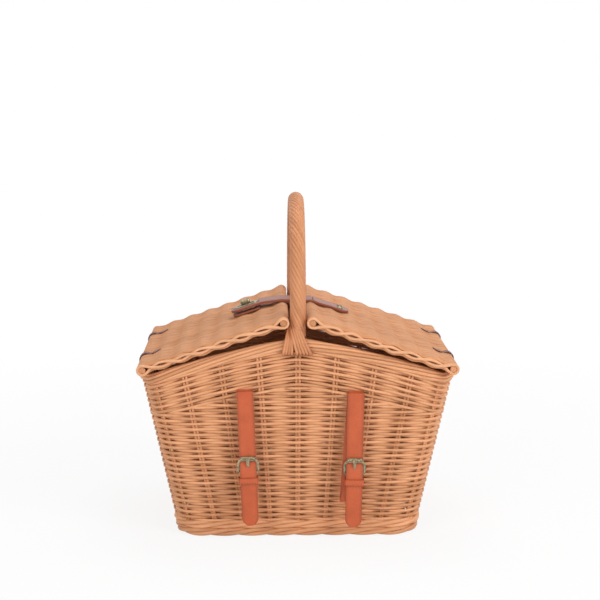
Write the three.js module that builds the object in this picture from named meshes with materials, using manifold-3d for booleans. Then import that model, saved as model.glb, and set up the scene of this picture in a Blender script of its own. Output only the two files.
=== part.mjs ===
// Willow picnic basket with two ridge lids, a bow handle, a turn-lock ridge strap and two blanket straps.
// Millimetres, +Z up, +X to the right, front at -Y. The origin is the middle of the base's underside.
import * as THREE from 'three';
import { mergeVertices } from 'three/addons/utils/BufferGeometryUtils.js';
import Module from 'manifold-3d';

const wasm = await Module();
wasm.setup();

// Basket body
const CLEARANCE = 0.3;
const WALL = 7;
const FOOT_HEIGHT = 22;
const FOOT_PROUD = 1.5;
const FOOT_CHAMFER = 4;
const BASE_THICKNESS = 9;
const BASE_HALF_WIDTH = 160.5;
const BASE_HALF_DEPTH = 118;
const EAVE_HALF_WIDTH = 198;
const PEAK_HALF_DEPTH = 140;
const CORNER_RADIUS = 40;
const GABLE_RISE = 47;
const GABLE_CURVE = 1.25;
const RIM_SIZE = 16;
const RIM_SHOULDER = 1.5;
const RIM_SEAT_GAP = 0.7;
const RIM_SIDES = 8;
const RIM_PROUD = 1.5;

// Weave of the wall's outer face
const STAKE_PAIRS = 28;
const ROW_START = 24;
const ROW_PITCH = 3.6;
const STAKE_DIP = 2.5;
const CROSSING_DIP = 2;

// Lids
const HINGE_X = 195;
const HINGE_Z = 224;
const LID_SLOPE = THREE.MathUtils.degToRad(18.5);
const STICK_COUNT = 8;
const STICK_PITCH = 26.6;
const STICK_RADIUS = 4;
const STICK_FIT = 0.6;
const STICK_PROUD = 1.5;
const LID_OVERHANG = 6;
const BULGE_RADIUS = 7.5;
const VALLEY_HALF = 4;
const LID_SEAT_GAP = 0.5;
const INNER_STRAP_U = 107;
const INNER_STRAP_WIDTH = 14;
const INNER_STRAP_LENGTH = 180;

// Hinge thongs
const THONG_WIDTH = 11;
const THONG_THICKNESS = 1.7;
const THONG_GRIP = 2.8;
const THONG_RUN_GAP = 0.8;
const THONG_SLACK = 1.6;
const THONG_FRONT_Y = -68;
const THONG_BACK_Y = 80;

// Bow handle
const HANDLE_RADIUS = 10.2;
const HANDLE_CORE_RADIUS = 5.4;
const HANDLE_WRAP_FIT = 0.9;
const HANDLE_TOP_Z = 435;
const HANDLE_LEG_RISE = 32;
const HANDLE_LEG_DEPTH = 90;
const FOOT_FAN_THICKNESS = 4.5;
const FOOT_FAN_TOP_HALF = 9;
const FOOT_FAN_HALF = 19;
const FOOT_FAN_ABOVE = 9;
const FOOT_FAN_BELOW = 19;
const FOOT_FAN_NOTCH = 8;

// Ridge strap and turn lock, measured along the lids' slope from the hinge sticks
const RIDGE_STRAP_WIDTH = 36;
const RIDGE_STRAP_THICKNESS = 3;
const RIDGE_STRAP_FIXED_U = 135;
const RIDGE_STRAP_TIP_U = 120;
const FLAP_LIFT = 4.5;
const FLAP_HINGE_GAP = 0.6;
const FLAP_CREST = 1;
const FLAP_OPENING_MARGIN = 1;
const PATCH_THICKNESS = 2.4;
const PATCH_WIDTH = 38;
const PATCH_START_U = 121;
const PATCH_END_U = 159;
const LOCK_U = 141;
const LOCK_PLATE_LENGTH = 26;
const LOCK_PLATE_WIDTH = 14;
const LOCK_PLATE_THICKNESS = 1.5;
const LOCK_POST_RADIUS = 2.2;
const EYELET_LENGTH = 36;
const EYELET_WIDTH = 18;
const EYELET_SLOT_LENGTH = 24;
const EYELET_SLOT_WIDTH = 8;
const EYELET_THICKNESS = 1.2;
const BUTTON_LENGTH = 13;
const BUTTON_WIDTH = 5.5;
const BUTTON_HEIGHT = 6;
const RIVET_RADIUS = 4;
const RIVET_TOP_RADIUS = 2.8;
const RIVET_HEIGHT = 1.8;
const RIVET_INSET = 12;
const RIVET_SPREAD = 9;

// Blanket straps, each hung from a slot in the front wall
const STRAP_WIDTH = 21;
const STRAP_THICKNESS = 2.6;
const STRAP_LENGTH = 173;
const STRAP_TAB_HEIGHT = 22;
const STRAP_SLOT_MARGIN = 0.8;
const STRAP_STAND_OFF = 1;
const TAIL_LIFT = 1;
const REAR_DROP = 140;
const REAR_TURN = 1.8;
const BUCKLE_TOP = 85;
const BUCKLE_WIDTH = 28.5;
const BUCKLE_HEIGHT = 22;
const BUCKLE_BAR = 2.8;
const BUCKLE_CORNER = 6;
const BUCKLE_LAY_GAP = 0.4;
const KEEPER_HEIGHT = 8;
const KEEPER_DROP = 3;
const KEEPER_WALL = 1.5;
const PRONG_SIZE = 2.4;
const PRONG_SLOT = 4.4;
const PRONG_ROOT_GAP = 0.75;
const LEFT_STRAP_X = -67;
const LEFT_STRAP_Z = 196;
const LEFT_STRAP_LEAN = THREE.MathUtils.degToRad(-2.2);
const RIGHT_STRAP_X = 73;
const RIGHT_STRAP_Z = 193;
const RIGHT_STRAP_LEAN = THREE.MathUtils.degToRad(1);
const STRAPS = [
  { side: 'left', x: LEFT_STRAP_X, z: LEFT_STRAP_Z, lean: LEFT_STRAP_LEAN },
  { side: 'right', x: RIGHT_STRAP_X, z: RIGHT_STRAP_Z, lean: RIGHT_STRAP_LEAN },
];

// Smoothness of the facets
const CORNER_STEPS = 4;
const FRONT_STEPS = 12;
const SIDE_STEPS = 4;
const ROUND_SIDES = 10;
const HANDLE_SIDES = 12;
const HANDLE_STEPS = 40;
const WAVE_STEPS = 6;

const material = (color, roughness, metalness = 0) =>
  new THREE.MeshStandardMaterial({ color, roughness, metalness });
const willow = material(0xd9a06f, 0.65);
const willowShade = material(0xc18a5a, 0.7);
const lidWillow = material(0xcb9768, 0.65);
const tanLeather = material(0xc8643c, 0.5);
const brownLeather = material(0xa06a58, 0.5);
const darkLeather = material(0x643c37, 0.6);
const antiqueMetal = material(0x968c6e, 0.35, 1);

const basket = new THREE.Group();

function addNode(parent, name, geometry, finish) {
  const mesh = new THREE.Mesh(geometry, finish);
  mesh.name = name;
  parent.add(mesh);
  return mesh;
}

// A closed geometry as a solid for cutting and joining, and back again.
function toSolid(geometry) {
  const bare = geometry.clone();
  bare.deleteAttribute('normal');
  bare.deleteAttribute('uv');
  const merged = mergeVertices(bare, 1e-4);
  return new wasm.Manifold(new wasm.Mesh({
    numProp: 3,
    vertProperties: new Float32Array(merged.attributes.position.array),
    triVerts: new Uint32Array(merged.index.array),
  }));
}

function toGeometry(solid) {
  const mesh = solid.getMesh();
  const geometry = new THREE.BufferGeometry();
  geometry.setAttribute('position', new THREE.BufferAttribute(mesh.vertProperties, 3));
  geometry.setIndex(new THREE.BufferAttribute(mesh.triVerts, 1));
  geometry.computeVertexNormals();
  return geometry;
}

function cut(geometry, ...tools) {
  return toGeometry(tools.reduce((left, tool) => left.subtract(toSolid(tool)), toSolid(geometry)));
}

function common(geometry, tool) {
  return toGeometry(toSolid(geometry).intersect(toSolid(tool)));
}

function join(geometry, tool) {
  return toGeometry(toSolid(geometry).add(toSolid(tool)));
}

function box(width, depth, height, x, y, z) {
  return new THREE.BoxGeometry(width, depth, height).translate(x, y, z);
}

// A flat shape drawn in XZ and given a depth along Y, centred on Y = 0.
const XZ_PLANE = new THREE.Matrix4().makeBasis(
  new THREE.Vector3(1, 0, 0), new THREE.Vector3(0, 0, 1), new THREE.Vector3(0, -1, 0));
// A flat shape drawn in YZ and given a width along X, centred on X = 0.
const YZ_PLANE = new THREE.Matrix4().makeBasis(
  new THREE.Vector3(0, 1, 0), new THREE.Vector3(0, 0, 1), new THREE.Vector3(1, 0, 0));
const XY_PLANE = new THREE.Matrix4();

function slab(shape, depth, plane, curveSegments = 5) {
  const geometry = new THREE.ExtrudeGeometry(shape, { depth, bevelEnabled: false, curveSegments });
  return geometry.translate(0, 0, -depth / 2).applyMatrix4(plane);
}

// The outline of a strip of even thickness along a line of points.
function ribbonShape(points, thickness) {
  const left = [];
  const right = [];
  points.forEach((point, i) => {
    const before = points[Math.max(i - 1, 0)];
    const after = points[Math.min(i + 1, points.length - 1)];
    const inDirection = point.clone().sub(i > 0 ? before : point);
    const outDirection = after.clone().sub(point);
    if (i === 0) inDirection.copy(outDirection);
    if (i === points.length - 1) outDirection.copy(inDirection);
    inDirection.normalize();
    outDirection.normalize();
    const along = inDirection.clone().add(outDirection).normalize();
    const normal = new THREE.Vector2(-along.y, along.x);
    const reach = thickness / 2 / along.dot(outDirection);
    left.push(point.clone().addScaledVector(normal, reach));
    right.unshift(point.clone().addScaledVector(normal, -reach));
  });
  return new THREE.Shape([...right, ...left]);
}

function pointsOf(...pairs) {
  return pairs.map(([a, b]) => new THREE.Vector2(a, b));
}

// A slot-shaped outline with round ends, long axis first.
function slotShape(length, width, Kind = THREE.Shape) {
  const straight = (length - width) / 2;
  const shape = new Kind();
  shape.absarc(straight, 0, width / 2, -Math.PI / 2, Math.PI / 2, false);
  shape.absarc(-straight, 0, width / 2, Math.PI / 2, 1.5 * Math.PI, false);
  shape.closePath();
  return shape;
}

function roundedRectangle(width, height, radius, Kind = THREE.Shape) {
  const x = width / 2 - radius;
  const y = height / 2 - radius;
  const shape = new Kind();
  shape.absarc(x, -y, radius, -Math.PI / 2, 0, false);
  shape.absarc(x, y, radius, 0, Math.PI / 2, false);
  shape.absarc(-x, y, radius, Math.PI / 2, Math.PI, false);
  shape.absarc(-x, -y, radius, Math.PI, 1.5 * Math.PI, false);
  shape.closePath();
  return shape;
}

// The basket's plan is a rounded rectangle that widens as it rises.
const RIM_TOP_EAVE = HINGE_Z - BULGE_RADIUS - LID_SEAT_GAP;
const RIM_BOTTOM_EAVE = RIM_TOP_EAVE - RIM_SIZE;
const RIM_TOP_PEAK = RIM_TOP_EAVE + GABLE_RISE;
const RIM_INSET = RIM_SIZE / 2 - RIM_PROUD;
const WALL_BOTTOM = FOOT_HEIGHT + CLEARANCE;
const WALL_PEAK = RIM_TOP_PEAK - RIM_SIZE;
const SIDE_FLARE = (EAVE_HALF_WIDTH - BASE_HALF_WIDTH) / (RIM_BOTTOM_EAVE - FOOT_HEIGHT);
const FRONT_FLARE = (PEAK_HALF_DEPTH - BASE_HALF_DEPTH) / (WALL_PEAK - FOOT_HEIGHT);
const halfWidthAt = (z) => BASE_HALF_WIDTH + SIDE_FLARE * (z - FOOT_HEIGHT);
const halfDepthAt = (z) => BASE_HALF_DEPTH + FRONT_FLARE * (z - FOOT_HEIGHT);
const GABLE_HALF_WIDTH = HINGE_X - BULGE_RADIUS - RIM_SHOULDER;
const rimTopAt = (x) => {
  const share = Math.min(Math.abs(x) / GABLE_HALF_WIDTH, 1);
  return RIM_TOP_EAVE + GABLE_RISE * (1 - share ** GABLE_CURVE);
};

// Stations round the plan, counter-clockwise, each giving a point for any half sizes and corner radius.
function planStations() {
  const stations = [];
  const quarter = (sx, sy, start) => {
    for (let i = 1; i < CORNER_STEPS; i += 1) {
      const angle = start + (i / CORNER_STEPS) * (Math.PI / 2);
      stations.push((a, b, r) => [sx * (a - r) + r * Math.cos(angle), sy * (b - r) + r * Math.sin(angle)]);
    }
  };
  const side = (steps, place) => {
    for (let i = 0; i <= steps; i += 1) {
      const t = -1 + (2 * i) / steps;
      stations.push((a, b, r) => place(t, a, b, r));
    }
  };
  side(FRONT_STEPS, (t, a, b, r) => [t * (a - r), -b]);
  quarter(1, -1, -Math.PI / 2);
  side(SIDE_STEPS, (t, a, b, r) => [a, t * (b - r)]);
  quarter(1, 1, 0);
  side(FRONT_STEPS, (t, a, b, r) => [-t * (a - r), b]);
  quarter(-1, 1, Math.PI / 2);
  side(SIDE_STEPS, (t, a, b, r) => [-a, -t * (b - r)]);
  quarter(-1, -1, Math.PI);
  return stations;
}
const stations = planStations();

// Stations at the pairs of stakes and midway between them, evenly spaced round the plan at mid height.
function stakeStations() {
  const middle = (FOOT_HEIGHT + RIM_BOTTOM_EAVE) / 2;
  const front = 2 * (halfWidthAt(middle) - CORNER_RADIUS);
  const side = 2 * (halfDepthAt(middle) - CORNER_RADIUS);
  const corner = (Math.PI / 2) * CORNER_RADIUS;
  const turn = (sx, sy, start) => (t, a, b, r) => {
    const angle = start + (t * Math.PI) / 2;
    return [sx * (a - r) + r * Math.cos(angle), sy * (b - r) + r * Math.sin(angle)];
  };
  const runs = [
    [front, (t, a, b, r) => [(2 * t - 1) * (a - r), -b]],
    [corner, turn(1, -1, -Math.PI / 2)],
    [side, (t, a, b, r) => [a, (2 * t - 1) * (b - r)]],
    [corner, turn(1, 1, 0)],
    [front, (t, a, b, r) => [(1 - 2 * t) * (a - r), b]],
    [corner, turn(-1, 1, Math.PI / 2)],
    [side, (t, a, b, r) => [-a, (1 - 2 * t) * (b - r)]],
    [corner, turn(-1, -1, Math.PI)],
  ];
  const around = runs.reduce((sum, [length]) => sum + length, 0);
  return Array.from({ length: 2 * STAKE_PAIRS }, (_, i) => {
    let left = (front / 2 + (i / (2 * STAKE_PAIRS)) * around) % around;
    const [length, place] = runs.find(([run]) => {
      if (left <= run) return true;
      left -= run;
      return false;
    });
    const t = left / length;
    return (a, b, r) => place(t, a, b, r);
  });
}

// A point of the plan at a height, moved outwards from the wall's outer face.
function planPoint(station, z, outwards) {
  const [x, y] = station(halfWidthAt(z) + outwards, halfDepthAt(z) + outwards, CORNER_RADIUS + outwards);
  return new THREE.Vector3(x, y, z);
}

function rimTopOf(station) {
  return rimTopAt(planPoint(station, RIM_BOTTOM_EAVE, 0).x);
}

// A closed ring round the plan. sectionOf gives the section's [outwards, z] points at a station.
function ring(sectionOf) {
  const rows = stations.map((station) =>
    sectionOf(station).map(([outwards, z]) => planPoint(station, z, outwards)));
  const count = rows[0].length;
  const positions = rows.flat().flatMap((point) => point.toArray());
  const index = [];
  rows.forEach((row, i) => {
    const next = (i + 1) % rows.length;
    row.forEach((_, j) => {
      const k = (j + 1) % count;
      const [a, b, c, d] = [i * count + j, next * count + j, next * count + k, i * count + k];
      index.push(a, b, c, a, c, d);
    });
  });
  const geometry = new THREE.BufferGeometry();
  geometry.setAttribute('position', new THREE.Float32BufferAttribute(positions, 3));
  geometry.setIndex(index);
  geometry.computeVertexNormals();
  return geometry;
}

// A filled block with the woven outer face: rods cross in front of every other stake pair, row by row.
function wovenBlock() {
  const columns = stakeStations();
  const rowCount = Math.ceil((WALL_PEAK - ROW_START) / ROW_PITCH) + 1;
  const dipAt = (row, column) => {
    if (column % 2 === 1) return -CROSSING_DIP;
    return (row + column / 2) % 2 === 0 ? 0 : -STAKE_DIP;
  };
  const foot = columns.map((station) => planPoint(station, WALL_BOTTOM - ROW_PITCH / 2, -CROSSING_DIP));
  const rows = [foot];
  for (let row = 0; row < rowCount; row += 1) {
    const z = ROW_START + (row + 0.5) * ROW_PITCH;
    rows.push(columns.map((station, column) => planPoint(station, z, dipAt(row, column))));
  }
  const count = columns.length;
  const lowest = new THREE.Vector3(0, 0, foot[0].z);
  const highest = new THREE.Vector3(0, 0, rows.at(-1)[0].z);
  const positions = [...rows.flat(), lowest, highest].flatMap((point) => point.toArray());
  const bottomMiddle = rows.length * count;
  const topRing = (rows.length - 1) * count;
  const index = [];
  for (let column = 0; column < count; column += 1) {
    const next = (column + 1) % count;
    for (let row = 0; row + 1 < rows.length; row += 1) {
      const [a, b] = [row * count + column, row * count + next];
      const [c, d] = [b + count, a + count];
      index.push(a, b, c, a, c, d);
    }
    index.push(next, column, bottomMiddle);
    index.push(topRing + column, topRing + next, bottomMiddle + 1);
  }
  const geometry = new THREE.BufferGeometry();
  geometry.setAttribute('position', new THREE.Float32BufferAttribute(positions, 3));
  geometry.setIndex(index);
  return geometry;
}

// Bow handle: a core whose legs run down inside the walls, wrapped above the rim.
const CORE_INSET = WALL + CLEARANCE + HANDLE_CORE_RADIUS;
const HANDLE_HALF_SPAN = halfDepthAt(RIM_TOP_PEAK) - CORE_INSET;
const HANDLE_SPRING_Z = RIM_TOP_PEAK + HANDLE_LEG_RISE;
const HANDLE_BOW_RISE = HANDLE_TOP_Z - HANDLE_RADIUS - HANDLE_SPRING_Z;
const WRAP_BOTTOM = RIM_TOP_PEAK + CLEARANCE;

class BowArc extends THREE.Curve {
  getPoint(t, target = new THREE.Vector3()) {
    const angle = Math.PI * t;
    const y = -HANDLE_HALF_SPAN * Math.cos(angle);
    return target.set(0, y, HANDLE_SPRING_Z + HANDLE_BOW_RISE * Math.sin(angle));
  }
}

function bowPath(bottom, withLegs) {
  const path = new THREE.CurvePath();
  const point = (y, z) => new THREE.Vector3(0, y, z);
  const legY = halfDepthAt(bottom) - CORE_INSET;
  if (withLegs) {
    path.add(new THREE.LineCurve3(point(-legY, bottom), point(-HANDLE_HALF_SPAN, RIM_TOP_PEAK)));
  }
  const start = withLegs ? RIM_TOP_PEAK : bottom;
  const span = HANDLE_HALF_SPAN;
  path.add(new THREE.LineCurve3(point(-span, start), point(-span, HANDLE_SPRING_Z)));
  path.add(new BowArc());
  path.add(new THREE.LineCurve3(point(span, HANDLE_SPRING_Z), point(span, start)));
  if (withLegs) {
    path.add(new THREE.LineCurve3(point(span, RIM_TOP_PEAK), point(legY, bottom)));
  }
  return path;
}

function roundSection(radius, sides, Kind = THREE.Shape) {
  const points = [];
  for (let i = 0; i < sides; i += 1) {
    const angle = ((i + 0.5) / sides) * 2 * Math.PI;
    points.push(new THREE.Vector2(radius * Math.cos(angle), radius * Math.sin(angle)));
  }
  return Kind === THREE.Path ? new THREE.Path(points) : new THREE.Shape(points);
}

function bowTube(section, bottom, withLegs) {
  return new THREE.ExtrudeGeometry(section, {
    steps: HANDLE_STEPS, extrudePath: bowPath(bottom, withLegs), bevelEnabled: false,
  });
}

function buildHandle() {
  const legBottom = RIM_TOP_PEAK - HANDLE_LEG_DEPTH;
  addNode(basket, 'handle_core',
    bowTube(roundSection(HANDLE_CORE_RADIUS, ROUND_SIDES), legBottom, true), willowShade);
  const wrap = roundSection(HANDLE_RADIUS, HANDLE_SIDES);
  wrap.holes.push(roundSection(HANDLE_CORE_RADIUS + HANDLE_WRAP_FIT, HANDLE_SIDES, THREE.Path));
  addNode(basket, 'handle_wrap', bowTube(wrap, WRAP_BOTTOM, false), willow);
  buildHandleFoot('handle_foot_front', -1);
  buildHandleFoot('handle_foot_back', 1);
}

// The ends of the wrapping rods fan out in two bundles over the border's outer face.
function buildHandleFoot(name, side) {
  const top = RIM_TOP_PEAK + FOOT_FAN_ABOVE;
  const bottom = RIM_TOP_PEAK - FOOT_FAN_BELOW;
  const fan = new THREE.Shape(pointsOf(
    [-FOOT_FAN_HALF, bottom], [-FOOT_FAN_TOP_HALF, bottom], [0, bottom + FOOT_FAN_NOTCH],
    [FOOT_FAN_TOP_HALF, bottom], [FOOT_FAN_HALF, bottom], [FOOT_FAN_TOP_HALF, top],
    [-FOOT_FAN_TOP_HALF, top]));
  const rimFace = halfDepthAt(RIM_TOP_PEAK) + RIM_PROUD;
  const y = side * (rimFace + CLEARANCE + FOOT_FAN_THICKNESS / 2);
  addNode(basket, name, slab(fan, FOOT_FAN_THICKNESS, XZ_PLANE).translate(0, y, 0), willow);
}

// A lid's own frame: X up the slope from the hinge stick to the ridge, Y front to back, Z out of the lid.
function lidGroup(side) {
  const group = new THREE.Group();
  group.position.set(side * HINGE_X, 0, HINGE_Z);
  group.rotation.set(0, side * LID_SLOPE, side > 0 ? Math.PI : 0);
  basket.add(group);
  return group;
}
const leftLid = lidGroup(-1);
const rightLid = lidGroup(1);
const LID_REACH = (STICK_COUNT - 1) * STICK_PITCH;
const STICK_LENGTH = 2 * (PEAK_HALF_DEPTH + LID_OVERHANG);

// A point of a lid's own frame in the basket's XZ plane.
function lidPoint(side, u, v) {
  const x = HINGE_X - u * Math.cos(LID_SLOPE) + v * Math.sin(LID_SLOPE);
  return new THREE.Vector2(side * x, HINGE_Z + u * Math.sin(LID_SLOPE) + v * Math.cos(LID_SLOPE));
}

const THONG_RADIUS = BULGE_RADIUS + THONG_GRIP + THONG_THICKNESS;
const THONG_SPOTS = [['front', THONG_FRONT_Y], ['back', THONG_BACK_Y]];

// Woven panel: a bulge over every stick, drawn in between them.
function lidWeave(side) {
  const middle = (BULGE_RADIUS + VALLEY_HALF) / 2;
  const swell = (BULGE_RADIUS - VALLEY_HALF) / 2;
  const wave = [];
  const waveCount = (STICK_COUNT - 1) * WAVE_STEPS;
  for (let i = 0; i <= waveCount; i += 1) {
    const u = (i / WAVE_STEPS) * STICK_PITCH;
    wave.push(new THREE.Vector2(u, middle + swell * Math.cos((2 * Math.PI * u) / STICK_PITCH)));
  }
  const roundEnd = (u, start) => {
    const points = [];
    for (let i = 1; i < WAVE_STEPS; i += 1) {
      const angle = start - (Math.PI * i) / WAVE_STEPS;
      points.push(new THREE.Vector2(u + BULGE_RADIUS * Math.cos(angle), BULGE_RADIUS * Math.sin(angle)));
    }
    return points;
  };
  const under = wave.map((point) => new THREE.Vector2(point.x, -point.y)).reverse();
  const outline = [...wave, ...roundEnd(LID_REACH, Math.PI / 2), ...under, ...roundEnd(0, 1.5 * Math.PI)];
  const shape = new THREE.Shape(outline);
  for (let i = 0; i < STICK_COUNT; i += 1) {
    const hole = new THREE.Path();
    hole.absarc(i * STICK_PITCH, 0, STICK_RADIUS + STICK_FIT, 0, 2 * Math.PI, false);
    shape.holes.push(hole);
  }
  const panel = slab(shape, STICK_LENGTH - 2 * STICK_PROUD, XZ_PLANE, ROUND_SIDES / 2);
  const notchRadius = THONG_RADIUS + THONG_RUN_GAP;
  const notches = THONG_SPOTS.map(([, y]) =>
    new THREE.CylinderGeometry(notchRadius, notchRadius, THONG_WIDTH + 2 * THONG_RUN_GAP, 2 * ROUND_SIDES)
      .translate(0, -side * y, 0));
  return cut(panel, ...notches);
}

function buildLid(name, group, side) {
  addNode(group, `${name}_lid_weave`, lidWeave(side), lidWillow);
  for (let i = 0; i < STICK_COUNT; i += 1) {
    const stick = new THREE.CylinderGeometry(STICK_RADIUS, STICK_RADIUS, STICK_LENGTH, ROUND_SIDES);
    addNode(group, `${name}_lid_stick_${i + 1}`, stick.translate(i * STICK_PITCH, 0, 0), willowShade);
  }
  const strapZ = -BULGE_RADIUS - CLEARANCE - STRAP_THICKNESS / 2;
  const inner = roundedRectangle(INNER_STRAP_WIDTH, INNER_STRAP_LENGTH, INNER_STRAP_WIDTH / 3);
  addNode(group, `${name}_lid_inner_strap`,
    slab(inner, STRAP_THICKNESS, XY_PLANE).translate(INNER_STRAP_U, 0, strapZ), darkLeather);
}

// Each thong is a leather loop round the hinge stick's bulge and the border under it.
function buildThongs(name, side) {
  const inner = THONG_RADIUS - THONG_THICKNESS;
  const top = new THREE.Vector2(HINGE_X, HINGE_Z);
  const lowerX = halfWidthAt(RIM_BOTTOM_EAVE + RIM_SIZE / 4) - RIM_INSET;
  const lower = new THREE.Vector2(lowerX, RIM_BOTTOM_EAVE + inner - THONG_SLACK);
  const lean = Math.atan2(top.x - lower.x, top.y - lower.y);
  const loop = (radius, Kind) => {
    const path = new Kind();
    path.absarc(top.x, top.y, radius, -lean, Math.PI - lean, false);
    path.absarc(lower.x, lower.y, radius, Math.PI - lean, 2 * Math.PI - lean, false);
    path.closePath();
    return path;
  };
  THONG_SPOTS.forEach(([spot, y]) => {
    const shape = loop(THONG_RADIUS, THREE.Shape);
    shape.holes.push(loop(inner, THREE.Path));
    const thong = slab(shape, THONG_WIDTH, XZ_PLANE, ROUND_SIDES);
    if (side < 0) thong.rotateZ(Math.PI);
    addNode(basket, `${name}_hinge_thong_${spot}`, thong.translate(0, y, 0), darkLeather);
  });
}

// Notches in the wall's top edge where the thongs pass under the border.
function thongNotches() {
  return [-1, 1].flatMap((side) => THONG_SPOTS.map(([, y]) => {
    const height = 2 * (THONG_SLACK + THONG_THICKNESS + CLEARANCE);
    return box(3 * WALL, THONG_WIDTH + 2 * THONG_RUN_GAP, height,
      side * halfWidthAt(RIM_BOTTOM_EAVE), y, RIM_BOTTOM_EAVE);
  }));
}

// Slots in the front wall where the blanket straps come out.
function strapSlots() {
  return STRAPS.map(({ x, z }) => box(
    STRAP_WIDTH + 2 * STRAP_SLOT_MARGIN, 3 * WALL, STRAP_THICKNESS + 2 * STRAP_SLOT_MARGIN,
    x, -halfDepthAt(z) + WALL / 2, z));
}

function buildBody() {
  const basePlan = stations.map((station) => {
    const point = planPoint(station, 0, -WALL - CLEARANCE);
    return new THREE.Vector2(point.x, point.y);
  });
  addNode(basket, 'base_panel', slab(new THREE.Shape(basePlan), BASE_THICKNESS, XY_PLANE)
    .translate(0, 0, BASE_THICKNESS / 2), willowShade);
  const bite = FOOT_CHAMFER;
  addNode(basket, 'foot_border', ring(() => [
    [FOOT_PROUD - bite, 0], [FOOT_PROUD, bite], [FOOT_PROUD, FOOT_HEIGHT - bite],
    [FOOT_PROUD - bite, FOOT_HEIGHT], [-WALL, FOOT_HEIGHT], [-WALL, 0],
  ]), willow);
  const shell = ring((station) => {
    const top = rimTopOf(station) - RIM_SIZE - RIM_SEAT_GAP;
    return [[WALL, WALL_BOTTOM], [WALL, top], [-WALL, top], [-WALL, WALL_BOTTOM]];
  });
  const weave = common(shell, wovenBlock());
  addNode(basket, 'woven_wall', cut(weave, ...thongNotches(), ...strapSlots()), willow);
  const rim = ring((station) => {
    const middle = rimTopOf(station) - RIM_SIZE / 2;
    return roundSection(RIM_SIZE / 2 / Math.cos(Math.PI / RIM_SIDES), RIM_SIDES).getPoints()
      .map((point) => [point.x - RIM_INSET, middle + point.y]);
  });
  const sleeve = roundSection(HANDLE_CORE_RADIUS + HANDLE_WRAP_FIT, HANDLE_SIDES);
  addNode(basket, 'rim_border', cut(rim, bowTube(sleeve, RIM_TOP_PEAK - HANDLE_LEG_DEPTH, true)), willow);
}

// Ridge strap: fixed half on the right lid, loose half lying over the turn lock on the left lid.
const STRAP_SEAT = BULGE_RADIUS + CLEARANCE;
const PATCH_TOP = STRAP_SEAT + PATCH_THICKNESS;
const LOCK_PLATE_TOP = PATCH_TOP + CLEARANCE + LOCK_PLATE_THICKNESS;
const FLAP_MIDDLE = PATCH_TOP + FLAP_LIFT;
const FLAP_TOP = FLAP_MIDDLE + RIDGE_STRAP_THICKNESS / 2;
const EYELET_TOP = FLAP_TOP + CLEARANCE + EYELET_THICKNESS;
const FIXED_MIDDLE = STRAP_SEAT + RIDGE_STRAP_THICKNESS / 2;

// The strap's plan, round at the corners of its free end.
function strapPlan(tip, end) {
  const half = RIDGE_STRAP_WIDTH / 2;
  const radius = RIDGE_STRAP_WIDTH / 3;
  const plan = new THREE.Shape();
  plan.absarc(tip + radius, half - radius, radius, Math.PI / 2, Math.PI);
  plan.absarc(tip + radius, radius - half, radius, Math.PI, 1.5 * Math.PI);
  plan.lineTo(end, -half);
  plan.lineTo(end, half);
  plan.closePath();
  return plan;
}

function buildRidgeStrap() {
  const fixedPlan = strapPlan(RIDGE_STRAP_FIXED_U, LID_REACH);
  addNode(rightLid, 'ridge_strap',
    slab(fixedPlan, RIDGE_STRAP_THICKNESS, XY_PLANE).translate(0, 0, FIXED_MIDDLE), brownLeather);
  [-1, 1].forEach((end, i) => {
    const head = new THREE.CylinderGeometry(RIVET_TOP_RADIUS, RIVET_RADIUS, RIVET_HEIGHT, ROUND_SIDES);
    head.rotateX(Math.PI / 2).translate(RIDGE_STRAP_FIXED_U + RIVET_INSET, end * RIVET_SPREAD,
      FIXED_MIDDLE + RIDGE_STRAP_THICKNESS / 2 + CLEARANCE + RIVET_HEIGHT / 2);
    addNode(rightLid, `ridge_strap_rivet_${i + 1}`, head, antiqueMetal);
  });

  const hinge = lidPoint(1, LID_REACH + FLAP_HINGE_GAP, FIXED_MIDDLE);
  const crest = lidPoint(-1, LID_REACH, FIXED_MIDDLE + FLAP_CREST);
  const raised = lidPoint(-1, PATCH_END_U + STICK_RADIUS, FLAP_MIDDLE);
  const tip = lidPoint(-1, RIDGE_STRAP_TIP_U, FLAP_MIDDLE);
  const side = ribbonShape([tip, raised, crest, hinge], RIDGE_STRAP_THICKNESS);
  const flap = slab(side, RIDGE_STRAP_WIDTH, XZ_PLANE);
  const blank = slab(strapPlan(tip.x, hinge.x + RIDGE_STRAP_WIDTH), 2 * GABLE_RISE, XY_PLANE)
    .translate(0, 0, tip.y);
  const slot = slotShape(
    EYELET_SLOT_LENGTH + 2 * FLAP_OPENING_MARGIN, EYELET_SLOT_WIDTH + 2 * FLAP_OPENING_MARGIN);
  const opening = slab(slot, 4 * RIDGE_STRAP_THICKNESS, XY_PLANE).translate(LOCK_U, 0, FLAP_MIDDLE);
  const toBasket = new THREE.Matrix4().makeRotationY(-LID_SLOPE).setPosition(-HINGE_X, 0, HINGE_Z);
  const leaf = cut(common(flap, blank), opening.applyMatrix4(toBasket));
  addNode(basket, 'ridge_strap_flap', leaf, brownLeather);

  const eyelet = slotShape(EYELET_LENGTH, EYELET_WIDTH);
  eyelet.holes.push(slotShape(EYELET_SLOT_LENGTH, EYELET_SLOT_WIDTH, THREE.Path));
  addNode(leftLid, 'eyelet_plate', slab(eyelet, EYELET_THICKNESS, XY_PLANE, ROUND_SIDES / 2)
    .translate(LOCK_U, 0, EYELET_TOP - EYELET_THICKNESS / 2), antiqueMetal);
}

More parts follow.
